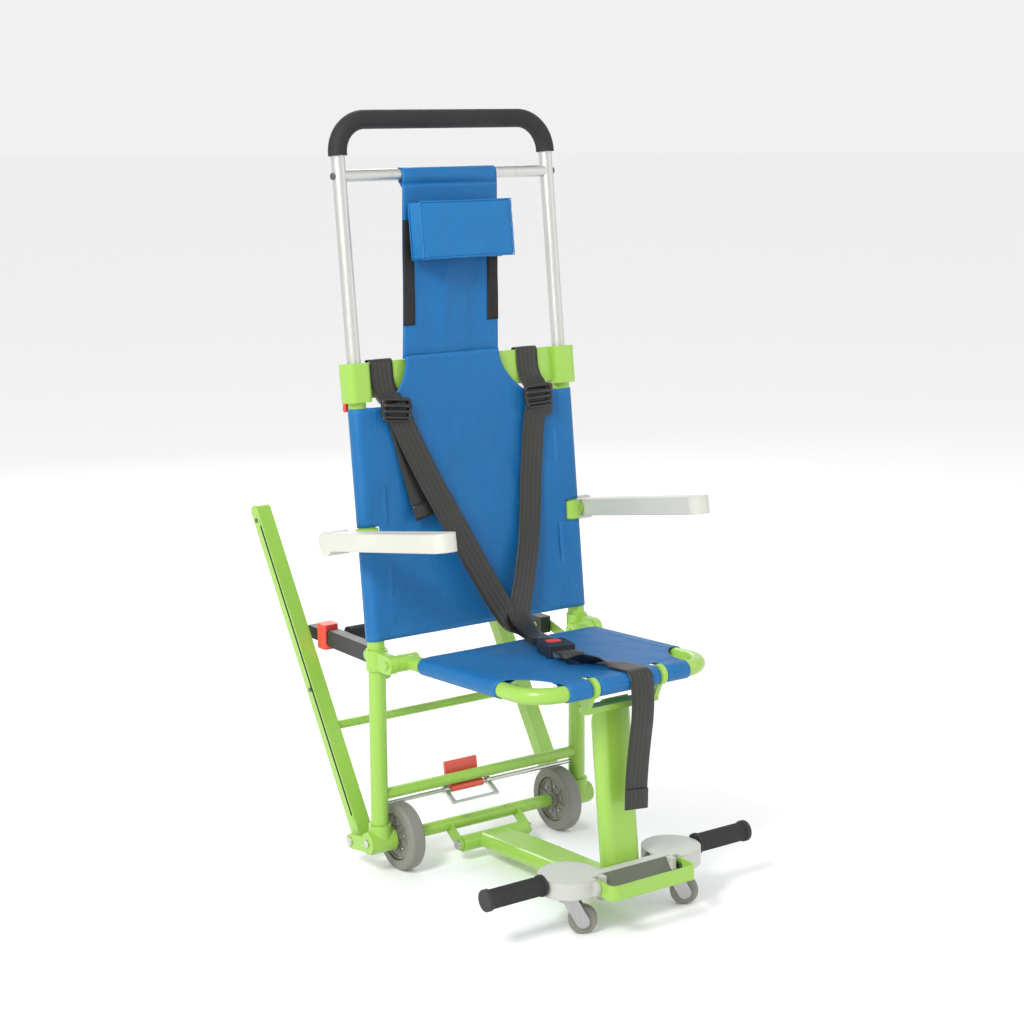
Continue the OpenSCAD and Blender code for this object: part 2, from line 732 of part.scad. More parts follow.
// ---- Wheels and casters ----
module wheel(side) {
    color("dimgray") placed() scale_x(side) translate([wheel_x[0], 0, wheel_r]) rotate([90, 0, 90])
    difference() {
        rotate_extrude() difference() {
            rounded([-wheel_r, 0], [wheel_r, wheel_x[1] - wheel_x[0]], 6);
            translate([-wheel_r - 1, -1]) square([wheel_r + 1, 40]);
        }
        rim();
        translate([0, 0, 30]) mirror([0, 0, 1]) rim();
        translate([0, 0, -1]) cylinder(h = 40, r = axle_r + run);
    }
}
// The dished face of a wheel, with a hub boss left standing
module rim() {
    translate([0, 0, -1]) difference() {
        cylinder(h = 7, r = 44);
        cylinder(h = 8, r = 15);
    }
}
module wheel_left() { wheel(-1); }
module wheel_right() { wheel(1); }

fork_trail = 24;
fork_turn = -35;               // the casters trail towards the front and side
module caster_place(side) {
    placed() translate([side * lobe[0], lobe[1], 0]) rotate(fork_turn) children();
}
module caster_fork(side) {
    low = foot_top - foot_t;
    color("gray") caster_place(side) difference() {
        union() {
            translate([0, 0, low - 5]) cylinder(h = 19 - run, r = stem_r - run);
            translate([0, 0, low - 6]) cylinder(h = 5, r = 20);
            translate([0, 0, low - 19]) cylinder(h = 13, r = 18);
            for (k = [-1, 1]) translate([0, k * 14 + 2, 0]) rotate([90, 0, 0]) linear_extrude(4)
                slot_shape([fork_trail, caster_r], [2, low - 14], 12);
        }
        translate([fork_trail, 0, caster_r]) rotate([90, 0, 0])
            cylinder(h = 22, r = caster_r + 2, center = true);
    }
    color("silver") caster_place(side) xz_axle(fork_trail, 14);
}
module xz_axle(x, half) {
    translate([x, 0, caster_r]) rotate([90, 0, 0]) cylinder(h = 2 * half, r = 4, center = true);
}
module caster_fork_left() { caster_fork(-1); }
module caster_fork_right() { caster_fork(1); }
module caster_wheel(side) {
    color("gray") caster_place(side) translate([fork_trail, 0, caster_r]) rotate([90, 0, 0]) difference() {
        rotate_extrude() difference() {
            rounded([-caster_r, -10], [caster_r, 10], 4);
            translate([-caster_r - 1, -20]) square([caster_r + 1, 40]);
        }
        cylinder(h = 40, r = 4 + run, center = true);
    }
}
module caster_wheel_left() { caster_wheel(-1); }
module caster_wheel_right() { caster_wheel(1); }

// ---- Rear rails ----
module rail(side) {
    half = [rail_w / 2, rail_t / 2];
    color(green) in_rails() scale_x(side) translate([rail_x, 0, 0]) difference() {
        yz_plate(-half[0], half[0]) slot_shape([0, 0], [0, rail_l], half[1]);
        block([wall - half[0], wall - half[1], 24], [half[0] - wall, half[1] - wall, rail_l - 14]);
        xrod(-30, 30, [0, 0], screw_r + run);
        // Slit along the outer side, near the front
        block([half[0] - wall - 1, 4 - half[1], 30], [half[0] + 1, 6 - half[1], rail_l - 20]);
    }
}
module rail_left() { rail(-1); }
module rail_right() { rail(1); }
rail_cross_s = 222;
module rail_cross_tube() {
    color(green) in_rails() xrod(-rail_x + rail_w / 2, rail_x - rail_w / 2, [0, rail_cross_s], 8.5);
}

// ---- Rear stays, with the lifting grip between them ----
stay_x = [stay_plate_x[0] - 24, stay_plate_x[0] - 1];
stay_end = 292;
module stay_arms() {
    color("black") placed() each_side() difference() {
        union() {
            block([stay_x[0], stay_pivot[0] - 16, stay_pivot[1] - 16], [stay_x[1], 216, stay_pivot[1] + 16]);
            block([stay_x[0] + 3, 215, stay_pivot[1] - 13], [stay_x[1] - 1, stay_end, stay_pivot[1] + 11]);
        }
        xrod(stay_x[0] - 3, stay_x[1] + 1, stay_pivot, hinge_pin_r + run);
    }
}
stay_bar = [200, 404];         // y and z of the bar that joins the two stays
module stay_grip() {
    color("black") placed() {
        xrod(-stay_x[0], stay_x[0], stay_bar, 8);
        xrod(-stay_x[0] + 12, stay_x[0] - 12, stay_bar, 15);
    }
}
module stay_clamps() {
    color("crimson") placed() each_side() difference() {
        pad([stay_x[0] - 5, 222, stay_pivot[1] - 24], [stay_x[1] + 4, 252, stay_pivot[1] + 24], 5);
        block([stay_x[0] + 2.7, 200, stay_pivot[1] - 13.3], [stay_x[1] - 0.7, 300, stay_pivot[1] + 11.3]);
    }
}

// ---- Pedal ----
rod_r = 4;
pedal_line = [2, wheel_d + rod_r + 2.5];
pedal_x = [-70, 2];
wire_x = [-86, 18];
wire_r = 4;
module pedal() {
    color("crimson") placed() yz_plate(pedal_x[0], pedal_x[1]) difference() {
        union() {
            translate(pedal_line) circle(7.5);
            translate(pedal_line - [0, 4]) square([13.2, 7]);
            slot_shape(pedal_line + [13, -2], pedal_line + [20, 44], 3.1);
        }
        translate(pedal_line) circle(rod_r + run);
    }
}
// Bent bar that a foot lifts, on rings at both ends of the pedal
module pedal_wire() {
    front = pedal_line - [32, 16];
    color("silver") placed() {
        for (x = [wire_x[0], wire_x[1] - 8]) yz_plate(x, x + 8) difference() {
            union() {
                translate(pedal_line) circle(7.5);
                slot_shape(pedal_line - [6, 2], front, 3);
            }
            translate(pedal_line) circle(rod_r + run);
        }
        yz_plate(wire_x[0] + 7, wire_x[1] - 7) translate(front) circle(wire_r - 1.5);
    }
}

post_left();
post_right();
hub_left();
hub_right();
frame_screws();
axle_tube();
wheel_axles();
cross_tube();
pedal_rod();
yoke();
seat_bracket_left();
seat_bracket_right();
stay_brackets();
arm_mount_left();
arm_mount_right();
leg_pin();
backrest_sheet();
shoulder_strap_left();
shoulder_strap_right();
strap_buckle_left();
strap_buckle_right();
lock_lever_left();
lock_lever_right();
handle_tube();
handle_foam();
crossbar();
crossbar_bolts();
head_panel();
head_cushion();
armrest_left();
armrest_right();
seat_tube();
seat_sheet();
lap_buckle();
buckle_tongue();
buckle_button();
lap_strap();
leg_column();
leg_clips();
strap_tail();
base_bar();
footrest();
carry_tube();
grips();
foot_loop();
loop_bolts();
wheel_left();
wheel_right();
caster_fork_left();
caster_fork_right();
caster_wheel_left();
caster_wheel_right();
rail_left();
rail_right();
rail_cross_tube();
stay_arms();
stay_grip();
stay_clamps();
pedal();
pedal_wire();
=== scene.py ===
import json
import math

import bmesh
import bpy
from mathutils import Matrix, Vector, noise


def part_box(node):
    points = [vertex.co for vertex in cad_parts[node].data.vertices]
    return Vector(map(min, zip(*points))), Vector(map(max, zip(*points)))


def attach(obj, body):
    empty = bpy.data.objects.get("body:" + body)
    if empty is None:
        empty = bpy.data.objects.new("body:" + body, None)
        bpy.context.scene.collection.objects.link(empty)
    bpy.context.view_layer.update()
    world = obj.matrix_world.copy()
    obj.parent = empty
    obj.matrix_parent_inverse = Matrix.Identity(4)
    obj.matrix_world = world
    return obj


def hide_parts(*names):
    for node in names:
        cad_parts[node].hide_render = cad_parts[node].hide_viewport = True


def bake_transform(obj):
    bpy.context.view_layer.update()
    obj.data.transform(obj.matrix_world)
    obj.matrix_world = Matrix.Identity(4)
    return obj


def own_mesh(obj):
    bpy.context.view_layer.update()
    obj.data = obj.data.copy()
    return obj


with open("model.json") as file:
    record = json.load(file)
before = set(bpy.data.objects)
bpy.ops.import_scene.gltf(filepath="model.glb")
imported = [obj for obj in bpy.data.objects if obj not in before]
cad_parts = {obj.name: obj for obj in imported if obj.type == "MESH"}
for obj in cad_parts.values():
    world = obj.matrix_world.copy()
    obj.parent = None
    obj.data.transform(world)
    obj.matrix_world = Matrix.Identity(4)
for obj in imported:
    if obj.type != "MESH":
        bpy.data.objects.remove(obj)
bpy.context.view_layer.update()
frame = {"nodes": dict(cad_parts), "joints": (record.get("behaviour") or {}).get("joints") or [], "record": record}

scene = bpy.context.scene
J = {j["name"]: j for j in frame["joints"]}
NODE = frame["nodes"]


def centre(node):
    lo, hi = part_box(node)
    return (lo + hi) / 2


def lerp(a, b, t):
    return a + (b - a) * t


def spread(a, b, n):
    """n + 1 even values from a to b."""
    return [lerp(a, b, i / n) for i in range(n + 1)]


def bell(x, middle, wide):
    """A smooth hump: 1 in the middle, and near 0 beyond twice its width."""
    return math.exp(-((x - middle) / wide) ** 2)


def round_point(r, degrees):
    return r * math.cos(math.radians(degrees)), r * math.sin(math.radians(degrees))


# ---- Thicknesses and widths, in metres ----
CLOTH = 0.0012                                          # the blue cloth
W = 0.048                                               # the belts
TIP = 0.0022                                            # a belt's folded and sewn tip
STITCH = (0.0030, 0.0008, 0.0007)                       # length, width and height of a stitch

# ---- Places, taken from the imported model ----
UP = -Vector(J["handle_slide"]["axis"])                 # along the reclined back
LEAN = math.atan2(UP.y, UP.z)
post_lo, post_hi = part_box("post_right")
POST_R = (post_hi.x - post_lo.x) / 2
POST_X = (post_hi.x + post_lo.x) / 2
Y0 = post_lo.y + POST_R                                 # the plane of the posts
HINGE = Vector(J["seat_fold"]["pos_m"])
FRONT = Vector(J["leg_fold"]["pos_m"])
BEND = HINGE.z + 0.002                                  # where the posts start to lean back
SEAT_L = (FRONT - HINGE).length
TILT = math.atan2(FRONT.z - HINGE.z, HINGE.y - FRONT.y)
BAR_S = ((centre("crossbar").y - Y0) * math.sin(LEAN) + (centre("crossbar").z - BEND) * math.cos(LEAN))


def back(x, y, s):
    """A point of the back, in mm: x across, y out of its plane (minus is the front), s along the posts."""
    y, s = y / 1000, s / 1000
    return Vector((x / 1000, Y0 + y * math.cos(LEAN) + s * math.sin(LEAN),
                   BEND - y * math.sin(LEAN) + s * math.cos(LEAN)))


def seat(x, y, z):
    """A point of the seat, in mm: x across, y along its tubes (minus is the front), z above their centres."""
    y, z = y / 1000, z / 1000
    return Vector((x / 1000, HINGE.y + y * math.cos(TILT) + z * math.sin(TILT),
                   HINGE.z - y * math.sin(TILT) + z * math.cos(TILT)))


def plain(x, y, z):
    """A point of the chair's own axes, in mm, with y from the posts' plane."""
    return Vector((x / 1000, Y0 + y / 1000, z / 1000))


BACK_N = back(0, -1000, 0) - back(0, 0, 0)
SEAT_N = seat(0, 0, 1000) - seat(0, 0, 0)
FRONT_N = Vector((0, -1, 0))

# ---- Camera ----
az, pitch, roll = math.radians(-35.357), math.radians(11.197), math.radians(-0.268)
forward = Vector((-math.sin(az) * math.cos(pitch), math.cos(az) * math.cos(pitch), -math.sin(pitch)))
right = Vector((math.cos(az), math.sin(az), 0))
up = right.cross(forward)
right, up = math.cos(roll) * right + math.sin(roll) * up, -math.sin(roll) * right + math.cos(roll) * up
camera = bpy.data.objects.new("camera", bpy.data.cameras.new("camera"))
scene.collection.objects.link(camera)
camera.matrix_world = Matrix(((right.x, up.x, -forward.x, -2.1018), (right.y, up.y, -forward.y, Y0 - 3.0671),
                              (right.z, up.z, -forward.z, 1.3909), (0, 0, 0, 1)))
camera.data.sensor_width = 36
camera.data.lens = 72.03
camera.data.shift_y = -0.001
camera.data.clip_end = 60
scene.camera = camera


# ---- Materials ----
class Shade:
    """A material under construction: short calls for the nodes that the patterns below need."""

    def __init__(self, name, metal=0.0, **fixed):
        self.m = bpy.data.materials.new(name)
        self.m.use_nodes = True
        self.t = self.m.node_tree
        self.b = self.t.nodes["Principled BSDF"]
        self.b.inputs["Metallic"].default_value = metal
        for key, value in fixed.items():
            self.b.inputs[key.replace("_", " ").title().replace("Ior", "IOR")].default_value = value
        self.place = self.node("ShaderNodeTexCoord").outputs["Object"]

    def node(self, kind, **inputs):
        n = self.t.nodes.new(kind)
        for key, value in inputs.items():
            self.put(n.inputs[key.replace("_", " ").title()], value)
        return n

    def put(self, socket, value):
        if isinstance(value, bpy.types.NodeSocket):
            self.t.links.new(value, socket)
        else:
            socket.default_value = value

    def at(self, x, y, z):
        n = self.node("ShaderNodeMapping")
        self.put(n.inputs["Vector"], self.place)
        n.inputs["Scale"].default_value = (x, y, z)
        return n.outputs["Vector"]

    def noise(self, scale, detail=3.0, vector=None, rough=0.55):
        n = self.node("ShaderNodeTexNoise", scale=scale, detail=detail, roughness=rough)
        self.put(n.inputs["Vector"], vector or self.place)
        return n.outputs["Fac"]

    def wave(self, axis, pitch, vector=None, shape="SIN"):
        n = self.node("ShaderNodeTexWave", scale=0.31416 / pitch, distortion=0.0, detail=1.0)
        n.bands_direction = axis
        n.wave_profile = shape
        self.put(n.inputs["Vector"], vector or self.place)
        return n.outputs["Fac"]

    def maths(self, operation, a, b=0.5):
        n = self.t.nodes.new("ShaderNodeMath")
        n.operation = operation
        self.put(n.inputs[0], a)
        self.put(n.inputs[1], b)
        return n.outputs[0]

    def between(self, value, low, high, from_low=0.25, from_high=0.75):
        n = self.t.nodes.new("ShaderNodeMapRange")
        self.put(n.inputs["Value"], value)
        for key, v in (("From Min", from_low), ("From Max", from_high), ("To Min", low), ("To Max", high)):
            n.inputs[key].default_value = v
        return n.outputs["Result"]

    def mix(self, share, a, b):
        n = self.t.nodes.new("ShaderNodeMix")
        n.data_type = "RGBA"
        self.put(n.inputs[0], share)
        for socket, value in ((n.inputs[6], a), (n.inputs[7], b)):
            self.put(socket, value if isinstance(value, bpy.types.NodeSocket) else (*value, 1.0))
        return n.outputs[2]

    def edges(self, low=0.52, high=0.62):
        return self.between(self.node("ShaderNodeNewGeometry").outputs["Pointiness"], 0.0, 1.0, low, high)

    def colour(self, value):
        self.put(self.b.inputs["Base Color"], value)

    def rough(self, value):
        self.put(self.b.inputs["Roughness"], value)

    def bump(self, height, distance, strength=1.0, soft_edge=0.0):
        n = self.node("ShaderNodeBump", strength=strength, distance=distance)
        self.put(n.inputs["Height"], height)
        if soft_edge:
            e = self.node("ShaderNodeBevel", radius=soft_edge)
            e.samples = 4
            self.put(n.inputs["Normal"], e.outputs["Normal"])
        self.put(self.b.inputs["Normal"], n.outputs["Normal"])
        return self.m


def dim(c, k):
    return tuple(v * k for v in c)


def painted(name, c, worn, gloss=0.28, edge=0.0012, coat=0.3):
    """Powder coat: orange peel, slight mottling, scuffs, and paint rubbed thin along edges."""
    s = Shade(name, coat_weight=coat, coat_roughness=0.12)
    scuff = s.between(s.noise(70, 5, s.at(1, 1, 0.12)), 0.0, 1.0, 0.66, 0.80)
    base = s.mix(s.between(s.noise(3, 2), 0, 1), dim(c, 0.97), dim(c, 1.03))
    base = s.mix(s.maths("MULTIPLY", scuff, 0.05), base, worn)
    rub = s.maths("MULTIPLY", s.edges(0.60, 0.75), s.between(s.noise(90, 4), 0, 0.12, 0.5, 0.75))
    s.colour(s.mix(rub, base, worn))
    plain_rough = s.between(s.noise(26, 4), gloss - 0.05, gloss + 0.09)
    s.rough(s.maths("ADD", plain_rough, s.maths("MULTIPLY", scuff, 0.12)))
    return s.bump(s.noise(520, 2), 0.00022, 0.55, edge)


def metal(name, c, along, rough=0.3, edge=0.0006, fine=900):
    """Drawn or plated metal: fine lines along its length, and a few longer marks."""
    s = Shade(name, metal=1.0)
    stretch = {"X": (0.02, 1, 1), "Y": (1, 0.02, 1), "Z": (1, 1, 0.02)}[along]
    line = s.noise(fine, 3, s.at(*stretch))
    mark = s.between(s.noise(70, 4, s.at(*stretch)), 0, 1, 0.62, 0.75)
    s.colour(s.mix(mark, s.mix(s.between(line, 0, 1), dim(c, 0.92), dim(c, 1.04)), dim(c, 0.8)))
    s.rough(s.between(line, rough - 0.06, rough + 0.10))
    return s.bump(line, 0.00006, 0.4, edge)


def cloth(name, c, across="X", along="Z", pitch=0.0011):
    """Coated woven nylon: a plain weave under a thin coating, soft crush marks and rubbed patches."""
    s = Shade(name, sheen_weight=0.02, sheen_roughness=0.4, specular_ior_level=0.32)
    warp, weft = s.wave(across, pitch), s.wave(along, pitch)
    weave = s.maths("MAXIMUM", s.maths("MULTIPLY", warp, 0.9), weft)
    crush = s.noise(14, 5, s.at(1, 1, 0.6), 0.62)
    base = s.mix(s.between(weave, 0, 1, 0.3, 1), dim(c, 0.86), dim(c, 1.06))
    crushed = s.maths("MULTIPLY", s.between(crush, 0, 1, 0.5, 0.75), 0.25)
    base = s.mix(crushed, base, tuple(v * 1.3 + 0.012 for v in c))
    s.colour(s.mix(s.maths("MULTIPLY", s.edges(0.51, 0.58), 0.3), base, tuple(v * 1.4 + 0.02 for v in c)))
    s.rough(s.between(crush, 0.36, 0.52))
    crease = s.noise(16, 3, s.at(1, 1, 0.4), 0.45)
    low = s.maths("ADD", s.maths("MULTIPLY", crush, 4.0), s.maths("MULTIPLY", crease, 9.0))
    return s.bump(s.maths("ADD", s.maths("MULTIPLY", weave, 0.16), low), 0.0010, 0.85)


def webbing(name, c):
    """Woven belt: ribs along it, fine cross threads, shinier crowns. U is across and V along, in metres."""
    s = Shade(name, sheen_weight=0.06, sheen_roughness=0.35, specular_ior_level=0.6)
    uv = s.node("ShaderNodeTexCoord").outputs["UV"]
    rib, thread = s.wave("X", 0.0096, uv), s.wave("Y", 0.0013, uv)
    height = s.maths("ADD", s.maths("MULTIPLY", rib, 0.8), s.maths("MULTIPLY", thread, 0.3))
    worn = s.between(s.noise(30, 5), 0, 1, 0.5, 0.8)
    base = s.mix(s.between(height, 0, 1, 0.2, 1.1), dim(c, 0.75), dim(c, 1.25))
    s.colour(s.mix(s.maths("MULTIPLY", worn, 0.3), base, tuple(v + 0.02 for v in c)))
    s.rough(s.between(height, 0.46, 0.30, 0.2, 1.1))
    return s.bump(height, 0.0004, 0.6)


def moulded(name, c, rough=0.45, grain=900, depth=0.00012, edge=0.0012, dirt=0.12):
    """Moulded plastic or rubber: fine spark-eroded grain, faint flow marks and grime."""
    s = Shade(name)
    grime = s.between(s.noise(18, 6), 0, 1, 0.55, 0.8)
    base = s.mix(s.between(s.noise(7, 2), 0, 1), dim(c, 0.95), dim(c, 1.04))
    s.colour(s.mix(s.maths("MULTIPLY", grime, dirt), base, dim(c, 0.6)))
    s.rough(s.between(s.noise(40, 4), rough - 0.06, rough + 0.10))
    return s.bump(s.noise(grain, 3), depth, 0.6, edge)


def foam(name, c):
    """Closed-cell foam tube: small open cells and pressed patches."""
    s = Shade(name, specular_ior_level=0.35)
    cell = s.node("ShaderNodeTexVoronoi", scale=700.0)
    s.put(cell.inputs["Vector"], s.place)
    s.colour(s.mix(s.between(cell.outputs["Distance"], 0, 1, 0.1, 0.6), dim(c, 1.35), dim(c, 0.75)))
    s.rough(s.between(s.noise(25, 4), 0.55, 0.78))
    dents = s.maths("MULTIPLY", s.noise(30, 4), 2.0)
    return s.bump(s.maths("ADD", cell.outputs["Distance"], dents), 0.0005, 0.6)


def gripped(name, c):
    """Rubber grip: ribs along it that are crossed by finer rings."""
    s = Shade(name)
    ribs = s.maths("ADD", s.wave("X", 0.0036, shape="TRI"), s.maths("MULTIPLY", s.noise(500, 3), 0.4))
    s.colour(s.mix(s.between(ribs, 0, 1, 0.1, 1.2), dim(c, 0.6), dim(c, 1.6)))
    s.rough(s.between(s.noise(50, 4), 0.5, 0.7))
    return s.bump(ribs, 0.0009, 0.6, 0.0012)


LIME = (0.30, 0.54, 0.070)
BLUE = (0.004, 0.135, 0.365)
M = {
    "green_paint": painted("green_paint", LIME, (0.62, 0.78, 0.30)),
    "aluminium_tube": metal("aluminium_tube", (0.66, 0.66, 0.63), "Z", 0.42),
    "steel": metal("steel", (0.62, 0.62, 0.61), "X", 0.27),
    "dark_steel": metal("dark_steel", (0.17, 0.17, 0.18), "X", 0.32),
    "blue_cloth": cloth("blue_cloth", BLUE),
    "blue_cushion": cloth("blue_cushion", (0.006, 0.155, 0.405)),
    "black_webbing": webbing("black_webbing", (0.015, 0.0145, 0.012)),
    "black_foam": foam("black_foam", (0.022, 0.022, 0.024)),
    "black_rubber": gripped("black_rubber", (0.020, 0.020, 0.020)),
    "black_plastic": moulded("black_plastic", (0.018, 0.018, 0.018), 0.34),
    "black_paint": painted("black_paint", (0.014, 0.014, 0.015), (0.10, 0.10, 0.10), 0.38, coat=0.1),
    "white_plastic": moulded("white_plastic", (0.60, 0.60, 0.54), 0.42, edge=0.003, dirt=0.10),
    "red_plastic": moulded("red_plastic", (0.78, 0.060, 0.040), 0.32, edge=0.0015),
    "red_paint": painted("red_paint", (0.74, 0.090, 0.060), (0.75, 0.30, 0.22), 0.30),
    "grey_casting": painted("grey_casting", (0.52, 0.53, 0.49), (0.75, 0.75, 0.72), 0.44, 0.0025, 0.05),
    "grey_wheel": moulded("grey_wheel", (0.235, 0.228, 0.200), 0.60, 500, 0.0003, 0.0015, 0.3),
    "grey_fork": metal("grey_fork", (0.46, 0.46, 0.46), "Z", 0.34, 0.0015, 300),
}
seat_cloth = cloth("seat_cloth", BLUE, "X", "Y")
slope_paint = painted("slope_paint", (0.125, 0.135, 0.105), (0.3, 0.3, 0.28), 0.55, coat=0.0)
# dark tape material, also used for the rails' slots as painted shade
tape_and_slot_shade = foam("tape_and_slot_shade", (0.016, 0.016, 0.017))
thread = moulded("thread", (0.030, 0.20, 0.50), 0.55, 1500, 0.0001, 0.0)
for part in frame["record"]["subparts"]:
    obj = NODE[part["node"]]
    obj.data.materials.clear()
    obj.data.materials.append(M[part["material_slot"]])


# ---- Mesh helpers ----
def new_object(name, verts, faces, material, uv=None, smooth=True):
    mesh = bpy.data.meshes.new(name)
    mesh.from_pydata([tuple(v) for v in verts], [], faces)
    mesh.validate()
    if uv:
        layer = mesh.uv_layers.new(name="UVMap")
        for loop in mesh.loops:
            layer.data[loop.index].uv = uv[loop.vertex_index]
    for p in mesh.polygons:
        p.use_smooth = smooth
    obj = bpy.data.objects.new(name, mesh)
    scene.collection.objects.link(obj)
    mesh.materials.append(material)
    return obj


def grid_mesh(name, rows, material, skip=lambda r, c: False, uv=None):
    """A mesh from rows of points. None is a place with no cloth, and skip leaves out a face."""
    index, verts, faces, uvs = {}, [], [], []
    for r, row in enumerate(rows):
        for c, p in enumerate(row):
            if p is not None:
                index[r, c] = len(verts)
                verts.append(p)
                if uv:
                    uvs.append(uv(r, c))
    for r in range(len(rows) - 1):
        for c in range(len(rows[0]) - 1):
            corner = [(r, c), (r, c + 1), (r + 1, c + 1), (r + 1, c)]
            if all(k in index for k in corner) and not skip(r, c):
                faces.append([index[k] for k in corner])
    used = {i for f in faces for i in f}
    keep = {i: n for n, i in enumerate(sorted(used))}
    verts = [verts[i] for i in sorted(used)]
    uvs = [uvs[i] for i in sorted(used)] if uv else None
    return new_object(name, verts, [[keep[i] for i in f] for f in faces], material, uvs)


def thicken(obj, thickness):
    m = obj.modifiers.new("thickness", "SOLIDIFY")
    m.thickness = thickness
    m.offset = 0.0
    return obj


def applied(obj):
    """Applies the modifiers of an object."""
    dg = bpy.context.evaluated_depsgraph_get()
    mesh = bpy.data.meshes.new_from_object(obj.evaluated_get(dg))
    old = obj.data
    obj.modifiers.clear()
    obj.data = mesh
    bpy.data.meshes.remove(old)
    return obj


def curve_through(points, step=0.006):
    """Points on a smooth curve through (place, normal, width) stations, about step apart."""
    out = []
    for i in range(len(points) - 1):
        p0, p1 = points[max(i - 1, 0)][0], points[i][0]
        p2, p3 = points[i + 1][0], points[min(i + 2, len(points) - 1)][0]
        n = max(2, int((p2 - p1).length / step))
        for k in range(n):
            t = k / n
            p = 0.5 * (2 * p1 + (p2 - p0) * t + (2 * p0 - 5 * p1 + 4 * p2 - p3) * t * t
                       + (3 * p1 - p0 - 3 * p2 + p3) * t ** 3)
            normal = points[i][1].lerp(points[i + 1][1], t).normalized()
            out.append((p, normal, lerp(points[i][2], points[i + 1][2], t)))
    out.append(points[-1])
    return out


def strap(name, points, thick=0.0018, columns=8, bow=0.0006):
    """A belt along stations of (place, normal, width), bowed a little across. Gives (object, length)."""
    line = curve_through(points)
    rows, along = [], [0.0]
    for i, (p, n, w) in enumerate(line):
        a, b = line[max(i - 1, 0)][0], line[min(i + 1, len(line) - 1)][0]
        across = (b - a).normalized().cross(n).normalized()
        out = across.cross((b - a).normalized())
        shares = spread(-0.5, 0.5, columns)
        rows.append([p + across * (w * u) + out * bow * (1 - (2 * u) ** 2) for u in shares])
        if i:
            along.append(along[-1] + (p - line[i - 1][0]).length)
    obj = grid_mesh(name, rows, M["black_webbing"],
                    uv=lambda r, c: ((c / columns - 0.5) * line[r][2], along[r]))
    thicken(obj, thick)
    applied(obj)
    return obj, along[-1]


def boxes(name, frames, size, material):
    """Small rounded blocks at (place, direction, normal), as one mesh: the stitches of a seam."""
    verts, faces = [], []
    lx, ly, lz = (v / 2 for v in size)
    for p, d, n in frames:
        side = d.cross(n).normalized()
        k = len(verts)
        for sx, ex in ((-1, 0.55), (-0.5, 1), (0.5, 1), (1, 0.55)):
            for sy, sz in ((-1, -1), (1, -1), (1, 1), (-1, 1)):
                verts.append(p + d * lx * sx + side * ly * sy * ex + n * lz * sz * ex)
        for j in range(3):
            for q in range(4):
                a, b = k + 4 * j + q, k + 4 * j + (q + 1) % 4
                faces.append([a, b, b + 4, a + 4])
        faces += [[k + 3, k + 2, k + 1, k], [k + 12, k + 13, k + 14, k + 15]]
    return new_object(name, verts, faces, material)


def seam_frames(path, pitch=0.0042, lift=0.0009):
    """Places of stitches along a path of (place, normal)."""
    out, left = [], pitch / 2
    for (p, n), (q, m) in zip(path, path[1:]):
        length = (q - p).length
        while left < length:
            t = left / length
            out.append((p.lerp(q, t) + n * lift, (q - p).normalized(), n))
            left += pitch
        left -= length
    return out


def tube(name, points, radius, material, sides=10, closed=False):
    """A round tube along points, as a mesh."""
    rings, count = [], len(points)
    side = None
    for i, p in enumerate(points):
        a = points[(i - 1) % count] if closed else points[max(i - 1, 0)]
        b = points[(i + 1) % count] if closed else points[min(i + 1, count - 1)]
        d = (b - a).normalized()
        if side is None:
            side = d.orthogonal().normalized()
        side = (side - d * side.dot(d)).normalized()
        other = d.cross(side)
        rings.append([p + (side * math.cos(t) + other * math.sin(t)) * radius
                      for t in [2 * math.pi * k / sides for k in range(sides)]])
    verts = [v for ring in rings for v in ring]
    faces = []
    for i in range(count if closed else count - 1):
        j = (i + 1) % count
        for k in range(sides):
            m = (k + 1) % sides
            faces.append([i * sides + k, i * sides + m, j * sides + m, j * sides + k])
    if not closed:
        faces.append(list(range(sides))[::-1])
        faces.append([(count - 1) * sides + k for k in range(sides)])
    return new_object(name, verts, faces, material)


def joined(name, objects):
    """One object from several that share a material."""
    b = bmesh.new()
    for o in objects:
        b.from_mesh(o.data)
    mesh = bpy.data.meshes.new(name)
    b.to_mesh(mesh)
    b.free()
    mesh.materials.append(objects[0].data.materials[0])
    for p in mesh.polygons:
        p.use_smooth = True
    for o in objects:
        bpy.data.objects.remove(o)
    obj = bpy.data.objects.new(name, mesh)
    scene.collection.objects.link(obj)
    return obj


def ruffle(x, s, seed, size=1.0):
    """Small soft unevenness of a taut cloth, in mm."""
    broad = noise.noise(Vector((x * 0.012, s * 0.009, seed)))
    return size * (broad + 0.5 * noise.noise(Vector((x * 0.03, s * 0.02, seed + 9))))


def stitches(name, frames, body=None):
    """The stitches of a seam, which ride with a body if one is named."""
    obj = boxes(name, frames, STITCH, thread)
    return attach(obj, body) if body else obj


def finished(obj, body, node=None):
    """Puts a piece on its body, in place of a CAD node if one is named."""
    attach(obj, body)
    if node:
        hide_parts(node)
    return obj


# ---- Backrest: one sheet with a sleeve round each post ----
PR, PX = POST_R * 1000, POST_X * 1000
wrap_r = PR + 1.2
face_y = -wrap_r
low_s, top_s, tip_s = 32, 452, 539
ARM_S = ((J["armrest_left_fold"]["pos_m"][1] - Y0) * math.sin(LEAN)
         + (J["armrest_left_fold"]["pos_m"][2] - BEND) * math.cos(LEAN)) * 1000
notch = (ARM_S - 20, ARM_S + 20)


def sleeve_path(sign):
    """Cross-section of a sleeve, from its seam round the back of the post to the front: (x, y), in mm."""
    path = [(PX - 38, face_y + 1.9), (PX - 30, face_y + 2.1), (PX - 22, face_y + 5), (PX - 18.5, -4)]
    path += [(PX + x, y) for x, y in (round_point(wrap_r, a) for a in spread(172, -84, 19))]
    return [(sign * x, y) for x, y in path]


